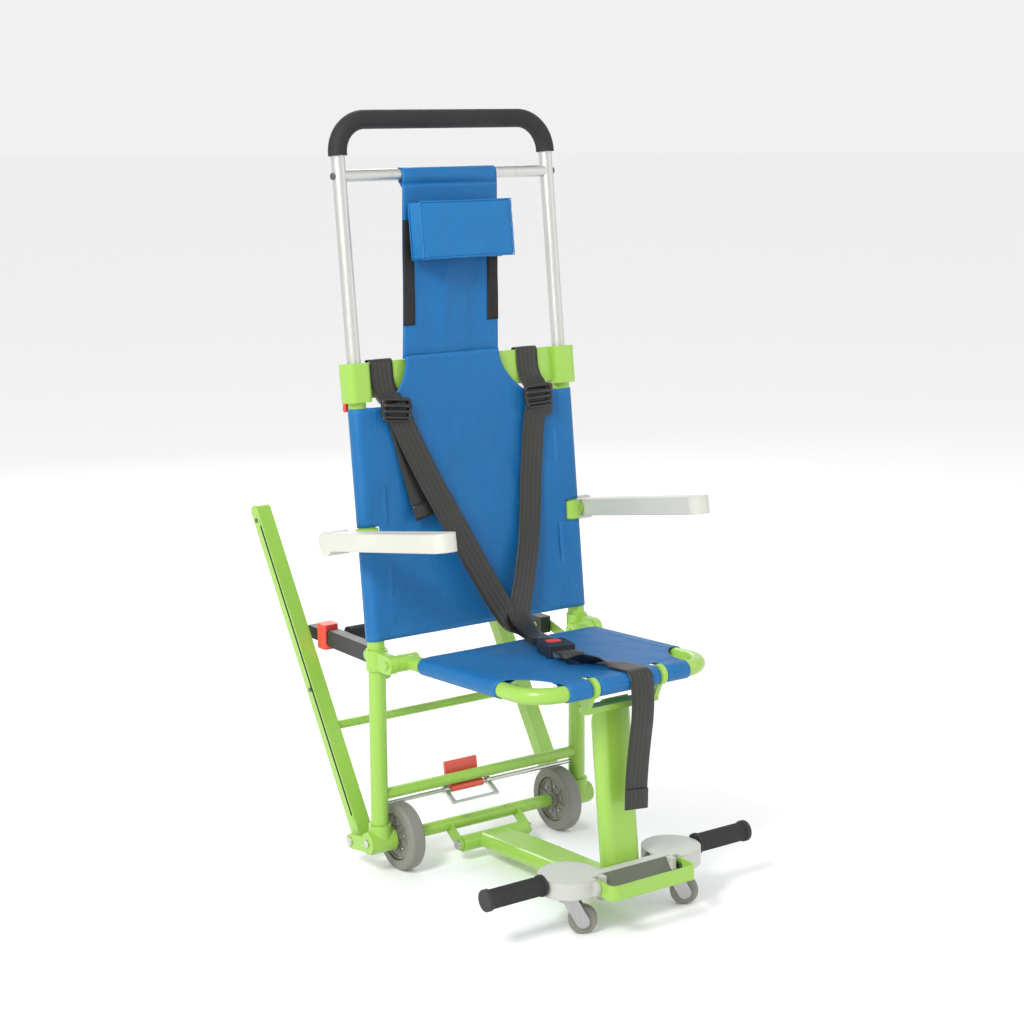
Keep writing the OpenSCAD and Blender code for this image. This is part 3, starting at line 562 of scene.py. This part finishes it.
def shoulder(s):
    """Left and right edges of the upper part of the backrest."""
    t = (s - top_s) / (tip_s - top_s)
    k = 1 - (1 - t) ** 2.2
    return lerp(-178, -129, k), lerp(138, 76, k)


# upright folds: place across, lean, width and depth, in mm
FOLDS = (-150, 0.5, 16, 3.0), (-60, 0.25, 14, 2.2), (30, -0.2, 20, 2.0), (150, -0.6, 14, 3.0)


def sag(x, s):
    """How far the cloth lies behind the front of the posts."""
    fade = min(1, max(0, (s - 30) / 90)) * min(1, max(0, (440 - s) / 110))
    near_post = max(0, 1 - (PX - abs(x)) / 110)
    pull = 1.6 * math.sin(abs(x) * 0.09 + s * 0.07) * max(0, 1 - abs(s - 130) / 120) * near_post
    inner = min(1, (PX - abs(x)) / 25)
    folds = 0
    for at, lean, wide, deep in FOLDS:
        folds += deep * bell(x - at - lean * (s - 230), 0, wide) * bell(s, 250, 130)
    bow = 6.5 * (1 - (x / PX) ** 2) * fade
    return (bow + ruffle(x, s, 1.0, 3.0) * (0.2 + fade) + pull + folds * fade) * inner


left_x = spread(-PX, -178, 6)[:-1]
mid_x = spread(-178, 138, 34)
right_x = spread(138, PX, 9)[1:]
s_rows = spread(low_s, notch[0], 18)[:-1] + spread(notch[0], notch[1], 5)[:-1]
s_rows += spread(notch[1], top_s, 24)
left_wrap, right_wrap = sleeve_path(-1), sleeve_path(1)[::-1]
rows = []
for s in s_rows:
    row = [back(x, y, s) for x, y in left_wrap]
    for x in left_x + mid_x + right_x:
        row.append(back(x, face_y + sag(x, s), s))
    rows.append(row + [back(x, y, s) for x, y in right_wrap])
first_mid = len(left_wrap) + len(left_x)
for s in spread(top_s, tip_s, 12)[1:]:
    xl, xr = shoulder(s)
    row = [None] * len(rows[0])
    for k, x in enumerate(mid_x):
        xx = lerp(xl, xr, k / (len(mid_x) - 1))
        row[first_mid + k] = back(xx, face_y + sag(xx, s), s)
    rows.append(row)
xs = [x for x, _ in left_wrap] + left_x + mid_x + right_x + [x for x, _ in right_wrap]


def in_notch(r, c):
    if r >= len(s_rows) - 1:
        return False
    middle = (s_rows[r] + s_rows[r + 1]) / 2
    outer = c < len(left_wrap) + 2 or c > len(xs) - len(right_wrap) - 4
    return notch[0] < middle < notch[1] and outer


backrest = grid_mesh("backrest_cloth", rows, M["blue_cloth"], skip=in_notch)
thicken(backrest, CLOTH)
finished(applied(backrest), "frame", "backrest_sheet")


def back_seam(points, step=4):
    """A path on the face of the backrest through (x, s) points."""
    path = []
    for (x0, s0), (x1, s1) in zip(points, points[1:]):
        n = max(1, int(math.dist((x0, s0), (x1, s1)) / step))
        for k in range(n):
            x, s = lerp(x0, x1, k / n), lerp(s0, s1, k / n)
            path.append((back(x, face_y + sag(x, s), s), BACK_N))
    return path


hem_top = [(shoulder(s)[0] + 7, s - 3) for s in spread(top_s, tip_s - 4, 10)]
hem_top += [(shoulder(s)[1] - 7, s - 3) for s in spread(tip_s - 4, top_s, 10)]
SEAM = PX - 24                                          # the sleeves' seams
stitch = seam_frames(back_seam([(-SEAM, low_s + 6), (-SEAM, notch[0] - 3)]))
left_top = [(-SEAM, notch[1] + 3), (-SEAM, top_s - 6), (-179, top_s - 6)]
stitch += seam_frames(back_seam(left_top + hem_top))
stitch += seam_frames(back_seam([(139, top_s - 6), (SEAM, top_s - 6), (SEAM, notch[1] + 3)]))
stitch += seam_frames(back_seam([(SEAM, notch[0] - 3), (SEAM, low_s + 6)]))
stitch += seam_frames(back_seam([(-PX + 8, low_s + 9), (PX - 8, low_s + 9)]))
backrest_stitching = stitches("backrest_stitching", stitch, "frame")

# ---- Head panel: a loop on the crossbar that rides with the handle, and a puckered panel on the frame ----
bar_s = BAR_S * 1000
bar_r = (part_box("crossbar")[1].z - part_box("crossbar")[0].z) * 500
panel_y = -(bar_r + 1.3)
join_s = bar_s - 18
hem_s = 534                                             # the panel's lower hem


def panel_edges(s):
    t = (s - (hem_s + 2)) / (bar_s - (hem_s + 2))
    return lerp(-131, -103, t), lerp(78, 103, t)


def panel_point(u, s, y=0.0):
    xl, xr = panel_edges(s)
    x = lerp(xl, xr, u)
    t = (s - (hem_s + 2)) / (bar_s - (hem_s + 2))
    low = max(0, math.sin(math.pi * min(1, t / 0.62))) ** 0.7
    pucker = low * (2.2 * math.sin(13 * u + 4 * t) + 3.2 * bell(u, 0.40 + 0.10 * t, 0.05)
                    + 2.6 * bell(u, 0.68 - 0.12 * t, 0.045))
    return back(x, panel_y + y + ruffle(x, s, 4.0, 2.0) - pucker * min(1, 8 * min(u, 1 - u)), s)


rows = [[panel_point(u, s) for u in spread(0, 1, 28)] for s in spread(hem_s, join_s, 44)]
panel = grid_mesh("head_panel_cloth", rows, M["blue_cloth"])
thicken(panel, CLOTH)
applied(panel)
loop_r = bar_r + 1.3
rows = []
for a in [-1] + list(range(0, 181, 15)) + [181]:
    row = []
    for u in spread(0, 1, 28):
        s = join_s if a in (-1, 181) else bar_s
        xl, xr = panel_edges(s)
        x = lerp(xl, xr, u)
        if a == -1:
            row.append(panel_point(u, join_s))
        elif a == 181:
            row.append(back(x, panel_y + 2.6 + ruffle(x, join_s, 4.0, 1.4), join_s - 6))
        else:
            t = math.radians(a)
            row.append(back(x, -loop_r * math.cos(t), bar_s + loop_r * math.sin(t)))
    rows.append(row)
loop = grid_mesh("head_panel_loop", rows, M["blue_cloth"])
thicken(loop, CLOTH)
finished(applied(loop), "handle")
panel_seam = []
for s in (547, 551):
    panel_seam += seam_frames([(panel_point(u, s), BACK_N) for u in spread(0.02, 0.98, 30)])
for u in (0.035, 0.965):
    panel_seam += seam_frames([(panel_point(u, s), BACK_N) for s in spread(552, join_s - 4, 50)])
panel_stitching = stitches("head_panel_stitching", panel_seam)
loop_seam = seam_frames([(panel_point(u, join_s + 1), BACK_N) for u in spread(0.02, 0.98, 30)])
loop_stitching = stitches("head_loop_stitching", loop_seam, "handle")
tapes = []
for k, (u0, u1) in enumerate(((0.0, 0.115), (0.885, 1.0))):
    rows = [[panel_point(u, s, -1.5) for u in spread(u0, u1, 4)] for s in spread(593, 782, 30)]
    tape = grid_mesh("panel_tape_" + "ab"[k], rows, tape_and_slot_shade)
    thicken(tape, 0.0014)
    tapes.append(applied(tape))
for piece in [panel, panel_stitching] + tapes:
    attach(piece, "frame")
    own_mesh(piece)
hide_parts("head_panel")

# ---- Head cushion: a foam block in a sewn cover ----
c_lo, c_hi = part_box("head_cushion")
cushion_x = (c_lo.x + c_hi.x) * 500
half = ((c_hi.x - c_lo.x) * 500 - 1.5, 22.0, 51.0)
cushion_c = centre("head_cushion")
cushion_y = (cushion_c.y - Y0) * math.cos(LEAN) * 1000 - (cushion_c.z - BEND) * math.sin(LEAN) * 1000
cushion_s = (cushion_c.y - Y0) * math.sin(LEAN) * 1000 + (cushion_c.z - BEND) * math.cos(LEAN) * 1000
steps = (32, 8, 18)


def cushion_grid():
    """A closed box of quads, and the vertices round the rims of its front and back faces."""
    index, verts, faces = {}, [], []

    def vertex(i, j, k):
        if (i, j, k) not in index:
            index[i, j, k] = len(verts)
            q = [2 * v / n - 1 for v, n in zip((i, j, k), steps)]
            # the sides pull in between the corners, and each face is crowned
            pull = [1 - 0.030 * (1 - q[1] ** 2) * (1 - q[2] ** 2 * 0.3), 1, 1 - 0.035 * (1 - q[0] ** 2) * 0.6]
            y = q[1] * half[1] * (1 - 0.10 * (max(abs(q[0]), abs(q[2])) ** 6))
            verts.append(Vector((q[0] * half[0] * pull[0], y, q[2] * half[2] * pull[2])))
        return index[i, j, k]

    n = steps
    for a, b, c in ((0, 1, 2), (1, 2, 0), (2, 0, 1)):
        for end in (0, n[c]):
            for i in range(n[a]):
                for j in range(n[b]):
                    q = []
                    for di, dj in ((0, 0), (1, 0), (1, 1), (0, 1)):
                        t = [0, 0, 0]
                        t[a], t[b], t[c] = i + di, j + dj, end
                        q.append(vertex(*t))
                    faces.append(q if end else q[::-1])
    rims = []
    for j in (0, n[1]):
        ring = [(i, j, 0) for i in range(n[0])] + [(n[0], j, k) for k in range(n[2])]
        ring += [(i, j, n[2]) for i in range(n[0], 0, -1)] + [(0, j, k) for k in range(n[2], 0, -1)]
        rims.append([index[t] for t in ring])
    return verts, faces, rims


verts, faces, rims = cushion_grid()
cushion = new_object("head_cushion_cover", verts, faces, M["blue_cushion"])
for v in cushion.data.vertices:
    x, y, s = v.co
    rim = max(abs(x) / half[0], abs(s) / half[2])
    # soft dents in the faces, puckers that run in from the seams, and creases across the side walls
    depth = ruffle(x * 2.4, s * 2.4, 7.0 + (y > 0), 1.6)
    wander_x = 1.5 * noise.noise(Vector((x * 0.05, 3, 0)))
    wander_s = 1.5 * noise.noise(Vector((s * 0.05, 5, 0)))
    depth += 1.0 * math.sin(x * 0.40 + wander_x) * bell(abs(s), half[2], 12)
    depth += 0.9 * math.sin(s * 0.38 + wander_s) * bell(abs(x), half[0], 12)
    wall = 0
    if rim > 0.9:
        wall = 1.5 * noise.noise(Vector((x * 0.03, y * 0.11, s * 0.09))) * (1 - (y / half[1]) ** 2)
    lift = -0.8 if y < 0 else 0.3
    back_y = min(y + depth * lift, half[1] - 0.3)
    x *= 1 - 0.012 * abs(wall)
    s *= 1 - 0.02 * abs(wall)
    v.co = back(cushion_x + x, cushion_y + back_y, cushion_s + s)
sub = cushion.modifiers.new("smooth", "SUBSURF")
sub.levels = sub.render_levels = 1
welts = []
for k, ring in enumerate(rims):
    line = [cushion.data.vertices[i].co.copy() for i in ring]
    welts.append(tube("welt_" + str(k), line, 0.0013, M["blue_cushion"], 8, closed=True))
applied(cushion)
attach(joined("head_cushion_welt", welts), "cushion")
finished(cushion, "cushion", "head_cushion")

# ---- Seat: one sheet with sleeves on the side tubes and on the front tube ----
SX = 190.0                                              # centres of the side tubes, in mm
SR = 14 + 1.2                                           # the tube's radius and the cloth on it
SL = SEAT_L * 1000
CORNER = 96                                             # length of a front corner's curve
WIDE, NARROW = 176, 130                                 # half the cloth's width behind and in front of it
SLOT_X = 81                                             # outer end of a slot in the front sleeve
REAR = -52                                              # the cloth's rear edge
side_y, front_y = -(SL - CORNER), -SL


def seat_half(y):
    t = min(1, max(0, (side_y - y) / CORNER))
    return lerp(WIDE, NARROW, 1 - (1 - t) ** 2.4)


def seat_dip(x, y):
    t = min(1, max(0, (REAR - y) / (SL + REAR)))
    return -1.2 * (1 - (x / SX) ** 2) * math.sin(math.pi * t) ** 0.7 + abs(ruffle(x, y, 12.0, 1.1)) * 0.8


def side_path(sign):
    """Cross-section of a sleeve, from its seam under the side tube to the top: (x, z), in mm."""
    path = [(SX - 36, SR - 1.9), (SX - 28, SR - 2.1), (SX - 20, SR - 5), (SX - 16.5, 3)]
    path += [(SX + x, z) for x, z in (round_point(SR, a) for a in range(-172, 91, 14))]
    return [(sign * x, z) for x, z in path]


lw, rw = side_path(-1), side_path(1)[::-1]
slot_u = SLOT_X / NARROW
shares = spread(-1, -slot_u, 7)[:-1] + spread(-slot_u, -0.5, 2)[:-1] + spread(-0.5, 0.5, 18)[:-1]
shares += spread(0.5, slot_u, 2)[:-1] + spread(slot_u, 1, 7)
rows, marks = [], []
for y in spread(REAR, side_y, 26):
    row = [seat(x, y, z) for x, z in lw] + [seat(-183, y, SR)]
    row += [seat(WIDE * c, y, SR + seat_dip(WIDE * c, y)) for c in shares]
    rows.append(row + [seat(183, y, SR)] + [seat(x, y, z) for x, z in rw])
    marks.append(y)
gap_l, gap_r = [None] * (len(lw) + 1), [None] * (len(rw) + 1)
for y in spread(side_y, front_y + 24, 9)[1:] + spread(front_y + 24, front_y, 3)[1:]:
    w = seat_half(y)
    rows.append(gap_l + [seat(w * c, y, SR + seat_dip(w * c, y)) for c in shares] + gap_r)
    marks.append(y)
for a in range(105, 331, 15):
    y, z = round_point(SR, a)
    rows.append(gap_l + [seat(NARROW * c, front_y + y, z) for c in shares] + gap_r)
    marks.append(front_y - 1)
for dy, z in ((18, SR - 8), (24, SR - 2.6), (34, SR - 2.2)):
    y = front_y + dy
    rows.append(gap_l + [seat(NARROW * c, y, z + min(0, seat_dip(NARROW * c, y))) for c in shares] + gap_r)
    marks.append(front_y - 1)
first = len(lw) + 1


def seat_skip(r, c):
    if c < first or c >= first + len(shares) - 1:
        return False
    mid = abs(shares[c - first] + shares[c - first + 1]) / 2 * NARROW
    return 65 < mid < SLOT_X and marks[r + 1] < front_y + 23.9


seat_cover = grid_mesh("seat_cloth", rows, seat_cloth, skip=seat_skip)
thicken(seat_cover, CLOTH)
finished(applied(seat_cover), "seat", "seat_sheet")


def seat_seam(points, step=4):
    path = []
    for (x0, y0), (x1, y1) in zip(points, points[1:]):
        n = max(1, int(math.dist((x0, y0), (x1, y1)) / step))
        for k in range(n):
            x, y = lerp(x0, x1, k / n), lerp(y0, y1, k / n)
            path.append((seat(x, y, SR + seat_dip(x, y)), SEAT_N))
    return path


stitch = seam_frames(seat_seam([(-SX + 20, -56), (-SX + 20, side_y + 6)]))
stitch += seam_frames(seat_seam([(SX - 20, -56), (SX - 20, side_y + 6)]))
stitch += seam_frames(seat_seam([(-SX + 4, -60), (SX - 4, -60)]))
for sign in (-1, 1):
    corner_y = spread(side_y - 3, front_y + 4, 12)
    stitch += seam_frames(seat_seam([(sign * (seat_half(y) - 6), y) for y in corner_y]))
for x0, x1 in ((-126, -83), (-62, 62), (83, 126)):
    stitch += seam_frames(seat_seam([(x0, front_y + 27), (x1, front_y + 27)]))
seat_stitching = stitches("seat_stitching", stitch, "seat")

# ---- Harness ----
def on_back(*points):
    """Stations of a belt on the backrest: (x, y, s), in mm, and the share of its width."""
    return [(back(x, y, s), BACK_N, W * share) for x, y, s, share in points]


for side, x in (("left", -176.0), ("right", 146.0)):
    # a loop round the yoke's plate, closed by the ladder buckle below it
    stations = [(back(x, y, s), -BACK_N, W) for y, s in ((9.2, 470), (8.6, 500), (8.0, 528))]
    stations += [(back(x, 5.5, 535.6), (UP - BACK_N).normalized(), W), (back(x, 0, 536.6), UP, W),
                 (back(x, -5.5, 535.6), (UP + BACK_N).normalized(), W)]
    stations += on_back((x, -8.0, 528, 1), (x, -8.4, 500, 1), (x + 3, -12.5, 476, 1),
                        (x + 7, -22.5, 462, 0.98), (x + 9, -27.5, 446, 0.98))
    belt, length = strap("yoke_loop_" + side, stations)
    finished(belt, "frame")


def ladder_buckle(name, x, s, turn, node):
    """A ladder-lock buckle: a frame with two crossbars and a raised lip."""
    parts = []
    c = back(x, -32.0, s)
    across = (Vector((1, 0, 0)) * math.cos(turn) + UP * math.sin(turn)).normalized()
    along = BACK_N.cross(across).normalized()
    w, h, r = 0.0285, 0.0165, 0.0038

    def ring(w, h, n=6, corner=0.006):
        pts = []
        for sx, sy, start in ((1, 1, 0), (-1, 1, 90), (-1, -1, 180), (1, -1, 270)):
            for k in range(n + 1):
                a = math.radians(start + 90 * k / n)
                pts.append(c + across * (sx * (w - corner) + corner * math.cos(a))
                           + along * (sy * (h - corner) + corner * math.sin(a)))
        return pts

    parts.append(tube("b0", ring(w, h), r, M["black_plastic"], 10, closed=True))
    for k, (v, lift) in enumerate(((0.005, 0.0035), (-0.0055, 0.0025))):
        ends = [c + across * u * w + along * v + BACK_N * lift * (1 - abs(u) ** 4)
                for u in spread(-0.98, 0.98, 8)]
        parts.append(tube("b" + str(k + 1), ends, 0.0038, M["black_plastic"], 10))
    lip = [c + across * u * w * 0.92 - along * (h + 0.006) + BACK_N * 0.0045 for u in spread(-1, 1, 8)]
    parts.append(tube("b3", lip, 0.0024, M["black_plastic"], 8))
    for sx in (-1, 1):
        arm = [c + across * sx * w * t[0] - along * (h * 0.9 + 0.0075 * t[1]) + BACK_N * 0.0045 * t[1]
               for t in ((0.97, 0), (0.95, 0.5), (0.92, 1))]
        parts.append(tube("b" + str(5 + sx), arm, 0.0026, M["black_plastic"], 8))
    finished(joined(name, parts), "frame", node)


ladder_buckle("ladder_buckle_left", -165, 447, math.radians(-6), "strap_buckle_left")
ladder_buckle("ladder_buckle_right", 149, 447, math.radians(2), "strap_buckle_right")


half_way = (BACK_N + SEAT_N).normalized()
b_lo, b_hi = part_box("lap_buckle")
catch = Vector(((b_lo.x + b_hi.x) / 2 + 0.006, b_hi.y + 0.002, b_lo.z + 0.0085))
hip = (BACK_N * 2 + SEAT_N).normalized()
left_path = on_back((-164, -27.0, 461, 1), (-161, -29.0, 446, 1), (-154, -28.5, 425, 1), (-139, -27, 390, 1),
                    (-106, -33, 312, 1), (-69, -39.5, 235, 1), (-30, -45, 155, 1), (8, -51, 80, 1))
left_path += [(back(34, -56, 34), hip, W),
              (plain(42, -84, 436.5), half_way, W * 0.9), (plain(33, -125, 436), SEAT_N, W * 0.8),
              (catch + Vector((0.002, 0.012, 0.004)), SEAT_N, W * 0.72),
              (catch + Vector((0, -0.003, 0.002)), SEAT_N, W * 0.7)]
right_path = on_back((149, -27.0, 461, 1), (148, -29.0, 446, 1), (146, -27.5, 425, 1), (138, -23.5, 380, 1),
                     (126, -22, 290, 1), (113, -23.5, 190, 1), (96, -30, 130, 1), (72, -43, 75, 1))
right_path += [(back(54, -56, 42), hip, W),
               (plain(47, -88, 441), half_way, W * 0.9), (plain(36, -128, 439), SEAT_N, W * 0.8),
               (catch + Vector((0.004, 0.012, 0.0075)), SEAT_N, W * 0.72),
               (catch + Vector((0.002, -0.003, 0.005)), SEAT_N, W * 0.7)]
for side, path in (("left", left_path), ("right", right_path)):
    belt, length = strap("shoulder_belt_" + side, path)
    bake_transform(belt)
    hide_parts("shoulder_strap_" + side)

# the spare end of the left strap hangs behind it, with a folded and sewn tip
spare = on_back((-158, -24.5, 448, 1), (-153, -22.5, 420, 1), (-141, -20.6, 370, 1),
                (-127, -20.4, 310, 1), (-116, -21.5, 262, 1), (-112, -22.5, 245, 1))
belt, length = strap("spare_end_left", spare)
fold, _ = strap("spare_fold_left", on_back((-118, -23.6, 272, 1), (-113, -25.0, 246, 1)), TIP)
finished(belt, "frame")
finished(fold, "frame")
short = on_back((158, -24, 448, 0.9), (163, -21.5, 424, 0.9), (166, -20.5, 404, 0.9))
belt, length = strap("spare_end_right", short)
finished(belt, "frame")

# ---- Lap strap: over the front edge of the seat, with its tail hanging in front of the leg ----
t_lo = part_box("buckle_tongue")[0]
start = Vector((t_lo.x + 0.021, t_lo.y + 0.006, t_lo.z + 0.0085))
edge = SR + 2.4
stations = [(start + Vector((0.004, 0.012, 0.0005)), SEAT_N, W * 0.92),
            (start + Vector((0, -0.010, 0.001)), SEAT_N, W * 0.96),
            (seat(-24, -276, edge + 3), (SEAT_N + Vector((0.35, 0, 0))).normalized(), W),
            (seat(-14, -300, edge + 9), (SEAT_N + Vector((0.75, 0.1, 0))).normalized(), W),
            (seat(4, -322, edge + 8), (SEAT_N + Vector((0.4, 0.1, 0))).normalized(), W),
            (seat(15, -346, edge + 2.5), SEAT_N, W), (seat(19, -372, edge + 0.8), SEAT_N, W)]
for a in (90, 115, 140, 165, 180):
    t = math.radians(a)
    n = (seat(0, math.cos(t) * 1000, math.sin(t) * 1000) - seat(0, 0, 0)).normalized()
    stations.append((seat(20, front_y + (edge + 1) * math.cos(t), (edge + 1) * math.sin(t)), n, W))
tail_lo, tail_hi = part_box("strap_tail")
tail_y = (tail_lo.y + tail_hi.y) / 2 - Y0
for z, x, dy in ((0.395, 20, -0.0005), (0.36, 18, -0.001), (0.32, 15, 0.0015), (0.28, 11, 0.002),
                 (0.245, 7, 0.0), (tail_lo.z + 0.002, 3, -0.004)):
    stations.append((Vector((x / 1000, Y0 + tail_y + dy, z)), FRONT_N, W))
belt, length = strap("lap_belt", stations)
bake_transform(belt)
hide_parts("lap_strap", "strap_tail")
tip_ends = [(Vector((0.0065, Y0 + tail_y - 0.0028, 0.243)), FRONT_N, W),
            (Vector((0.0032, Y0 + tail_y - 0.0062, tail_lo.z + 0.003)), FRONT_N, W)]
tip, _ = strap("tail_fold", tip_ends, TIP)
finished(tip, "leg")

# ---- Footrest: dark sloping plate in front of the deck ----
f_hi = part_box("footrest")[1]
LOOP = Vector(J["foot_loop_fold"]["pos_m"])
top = Vector((0, LOOP.y + 0.0181, f_hi.z - 0.0005))
low = Vector((0, LOOP.y - 0.0008, f_hi.z - 0.0252))
n = Vector((0, -(top.z - low.z), top.y - low.y)).normalized()
rows = []
for t in spread(0, 1, 10):
    p = top.lerp(low, t) + n * 0.0006
    rows.append([p + Vector((u * 0.0795, 0, 0)) for u in spread(-1, 1, 20)])
plate = grid_mesh("slope_plate", rows, slope_paint)
thicken(plate, 0.0016)
finished(applied(plate), "leg")

# ---- Wheels: rim ribs and bolts ----
for side in ("left", "right"):
    lo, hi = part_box("wheel_" + side)
    c = (lo + hi) / 2
    parts = []
    for face in (-1, 1):
        x = c.x + face * 0.0098
        for k in range(6):
            a = math.radians(60 * k + 12)
            line = [Vector((x, c.y + r * math.cos(a), c.z + r * math.sin(a)))
                    for r in (0.014, 0.022, 0.030, 0.037, 0.0435)]
            parts.append(tube("spoke", line, 0.0026, M["grey_wheel"], 8))
        r = 0.0405
        ring = [Vector((x, c.y + r * math.cos(t), c.z + r * math.sin(t)))
                for t in [2 * math.pi * k / 48 for k in range(48)]]
        parts.append(tube("ring", ring, 0.0022, M["grey_wheel"], 8, closed=True))
    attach(joined("wheel_ribs_" + side, parts), "rear_wheel_" + side)
    parts = []
    for face in (-1, 1):
        for k in range(6):
            a = math.radians(60 * k + 42)
            p = Vector((c.x + face * 0.0085, c.y + 0.0265 * math.cos(a), c.z + 0.0265 * math.sin(a)))
            head = [p + Vector((face * x, 0, 0)) for x in (0, 0.003, 0.0036)]
            parts.append(tube("bolt", head, 0.0028, M["steel"], 6))
    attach(joined("wheel_bolts_" + side, parts), "rear_wheel_" + side)

# ---- Rails: painted shade for the slot along each outer side, as a thin dark strip, and the end screws ----
PIVOT = Vector(J["rail_fold"]["pos_m"])
way = centre("rail_cross_tube") - PIVOT
way = Vector((0, way.y, way.z)).normalized()
ahead = Vector((0, -way.z, way.y))
for side, sign in (("left", -1), ("right", 1)):
    lo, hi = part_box("rail_" + side)
    face = lo.x if sign < 0 else hi.x
    # a thin dark strip on the outer face stands for the shaded slot: painted shade, not a cut groove
    rows = []
    for s in spread(0.045, 0.640, 60):
        base = Vector((face + sign * 0.0002, PIVOT.y, PIVOT.z)) + way * s
        rows.append([base + ahead * v for v in spread(0.0045, 0.0090, 3)])
    slot_shade = grid_mesh("rail_slot_shade_" + side, rows, tape_and_slot_shade)
    thicken(slot_shade, 0.0004)
    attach(applied(slot_shade), "rails")
    parts = []
    for s in (0.655, 0.30):
        p = Vector((face, PIVOT.y, PIVOT.z)) + way * s + ahead * (-0.002 if s > 0.5 else 0.0)
        head = [p + Vector((sign * x, 0, 0)) for x in (0, 0.0012, 0.0018)]
        parts.append(tube("screw", head, 0.0042, M["dark_steel"], 14))
    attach(joined("rail_screws_" + side, parts), "rails")

# ---- Grips: raised ribs along the rubber ----
lo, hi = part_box("grips")
gc = (lo + hi) / 2
parts = []
for sign in (-1, 1):
    x0, x1 = sign * (hi.x - 0.110), sign * (hi.x - 0.012)
    for k in range(20):
        a = 2 * math.pi * k / 20
        d = Vector((0, math.cos(a), math.sin(a)))
        r = 0.0161
        ends = (x0, 0.97), (lerp(x0, x1, 0.03), 1), (lerp(x0, x1, 0.97), 1), (x1, 0.97)
        rib = [Vector((x, gc.y, gc.z)) + d * r * q for x, q in ends]
        parts.append(tube("rib", rib, 0.0009, M["black_rubber"], 6))
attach(joined("grip_ribs", parts), "leg")

# ---- Light and floor ----
floor_paint = Shade("floor_paint", specular_ior_level=0.1)
floor_paint.colour((0.93, 0.93, 0.93, 1))
floor_paint.rough(0.8)
floor_paint.b.inputs["Emission Color"].default_value = (1, 1, 1, 1)
floor_paint.b.inputs["Emission Strength"].default_value = 0.04
floor = new_object("floor", [(-60, -60, 0), (60, -60, 0), (60, 60, 0), (-60, 60, 0)], [(0, 1, 2, 3)],
                   floor_paint.m, smooth=False)
world = bpy.data.worlds.new("studio")
scene.world = world
world.use_nodes = True
world.node_tree.nodes["Background"].inputs[0].default_value = (1, 1, 1, 1)
world.node_tree.nodes["Background"].inputs[1].default_value = 0.88


def light(name, place, target, size, power):
    data = bpy.data.lights.new(name, "AREA")
    data.shape = "DISK"
    data.size, data.energy = size, power
    obj = bpy.data.objects.new(name, data)
    scene.collection.objects.link(obj)
    obj.location = place
    obj.rotation_mode = "QUATERNION"
    obj.rotation_quaternion = (Vector(target) - Vector(place)).to_track_quat("-Z", "Y")


light("key", (-3.2, -1.6, 3.4), (0, 0, 0.7), 1.2, 125)
light("fill", (3.0, -2.6, 2.0), (0, 0, 0.6), 2.6, 12)
light("rim", (1.2, 3.2, 2.6), (0, 0, 0.8), 2.0, 45)
scene.view_settings.view_transform = "Standard"
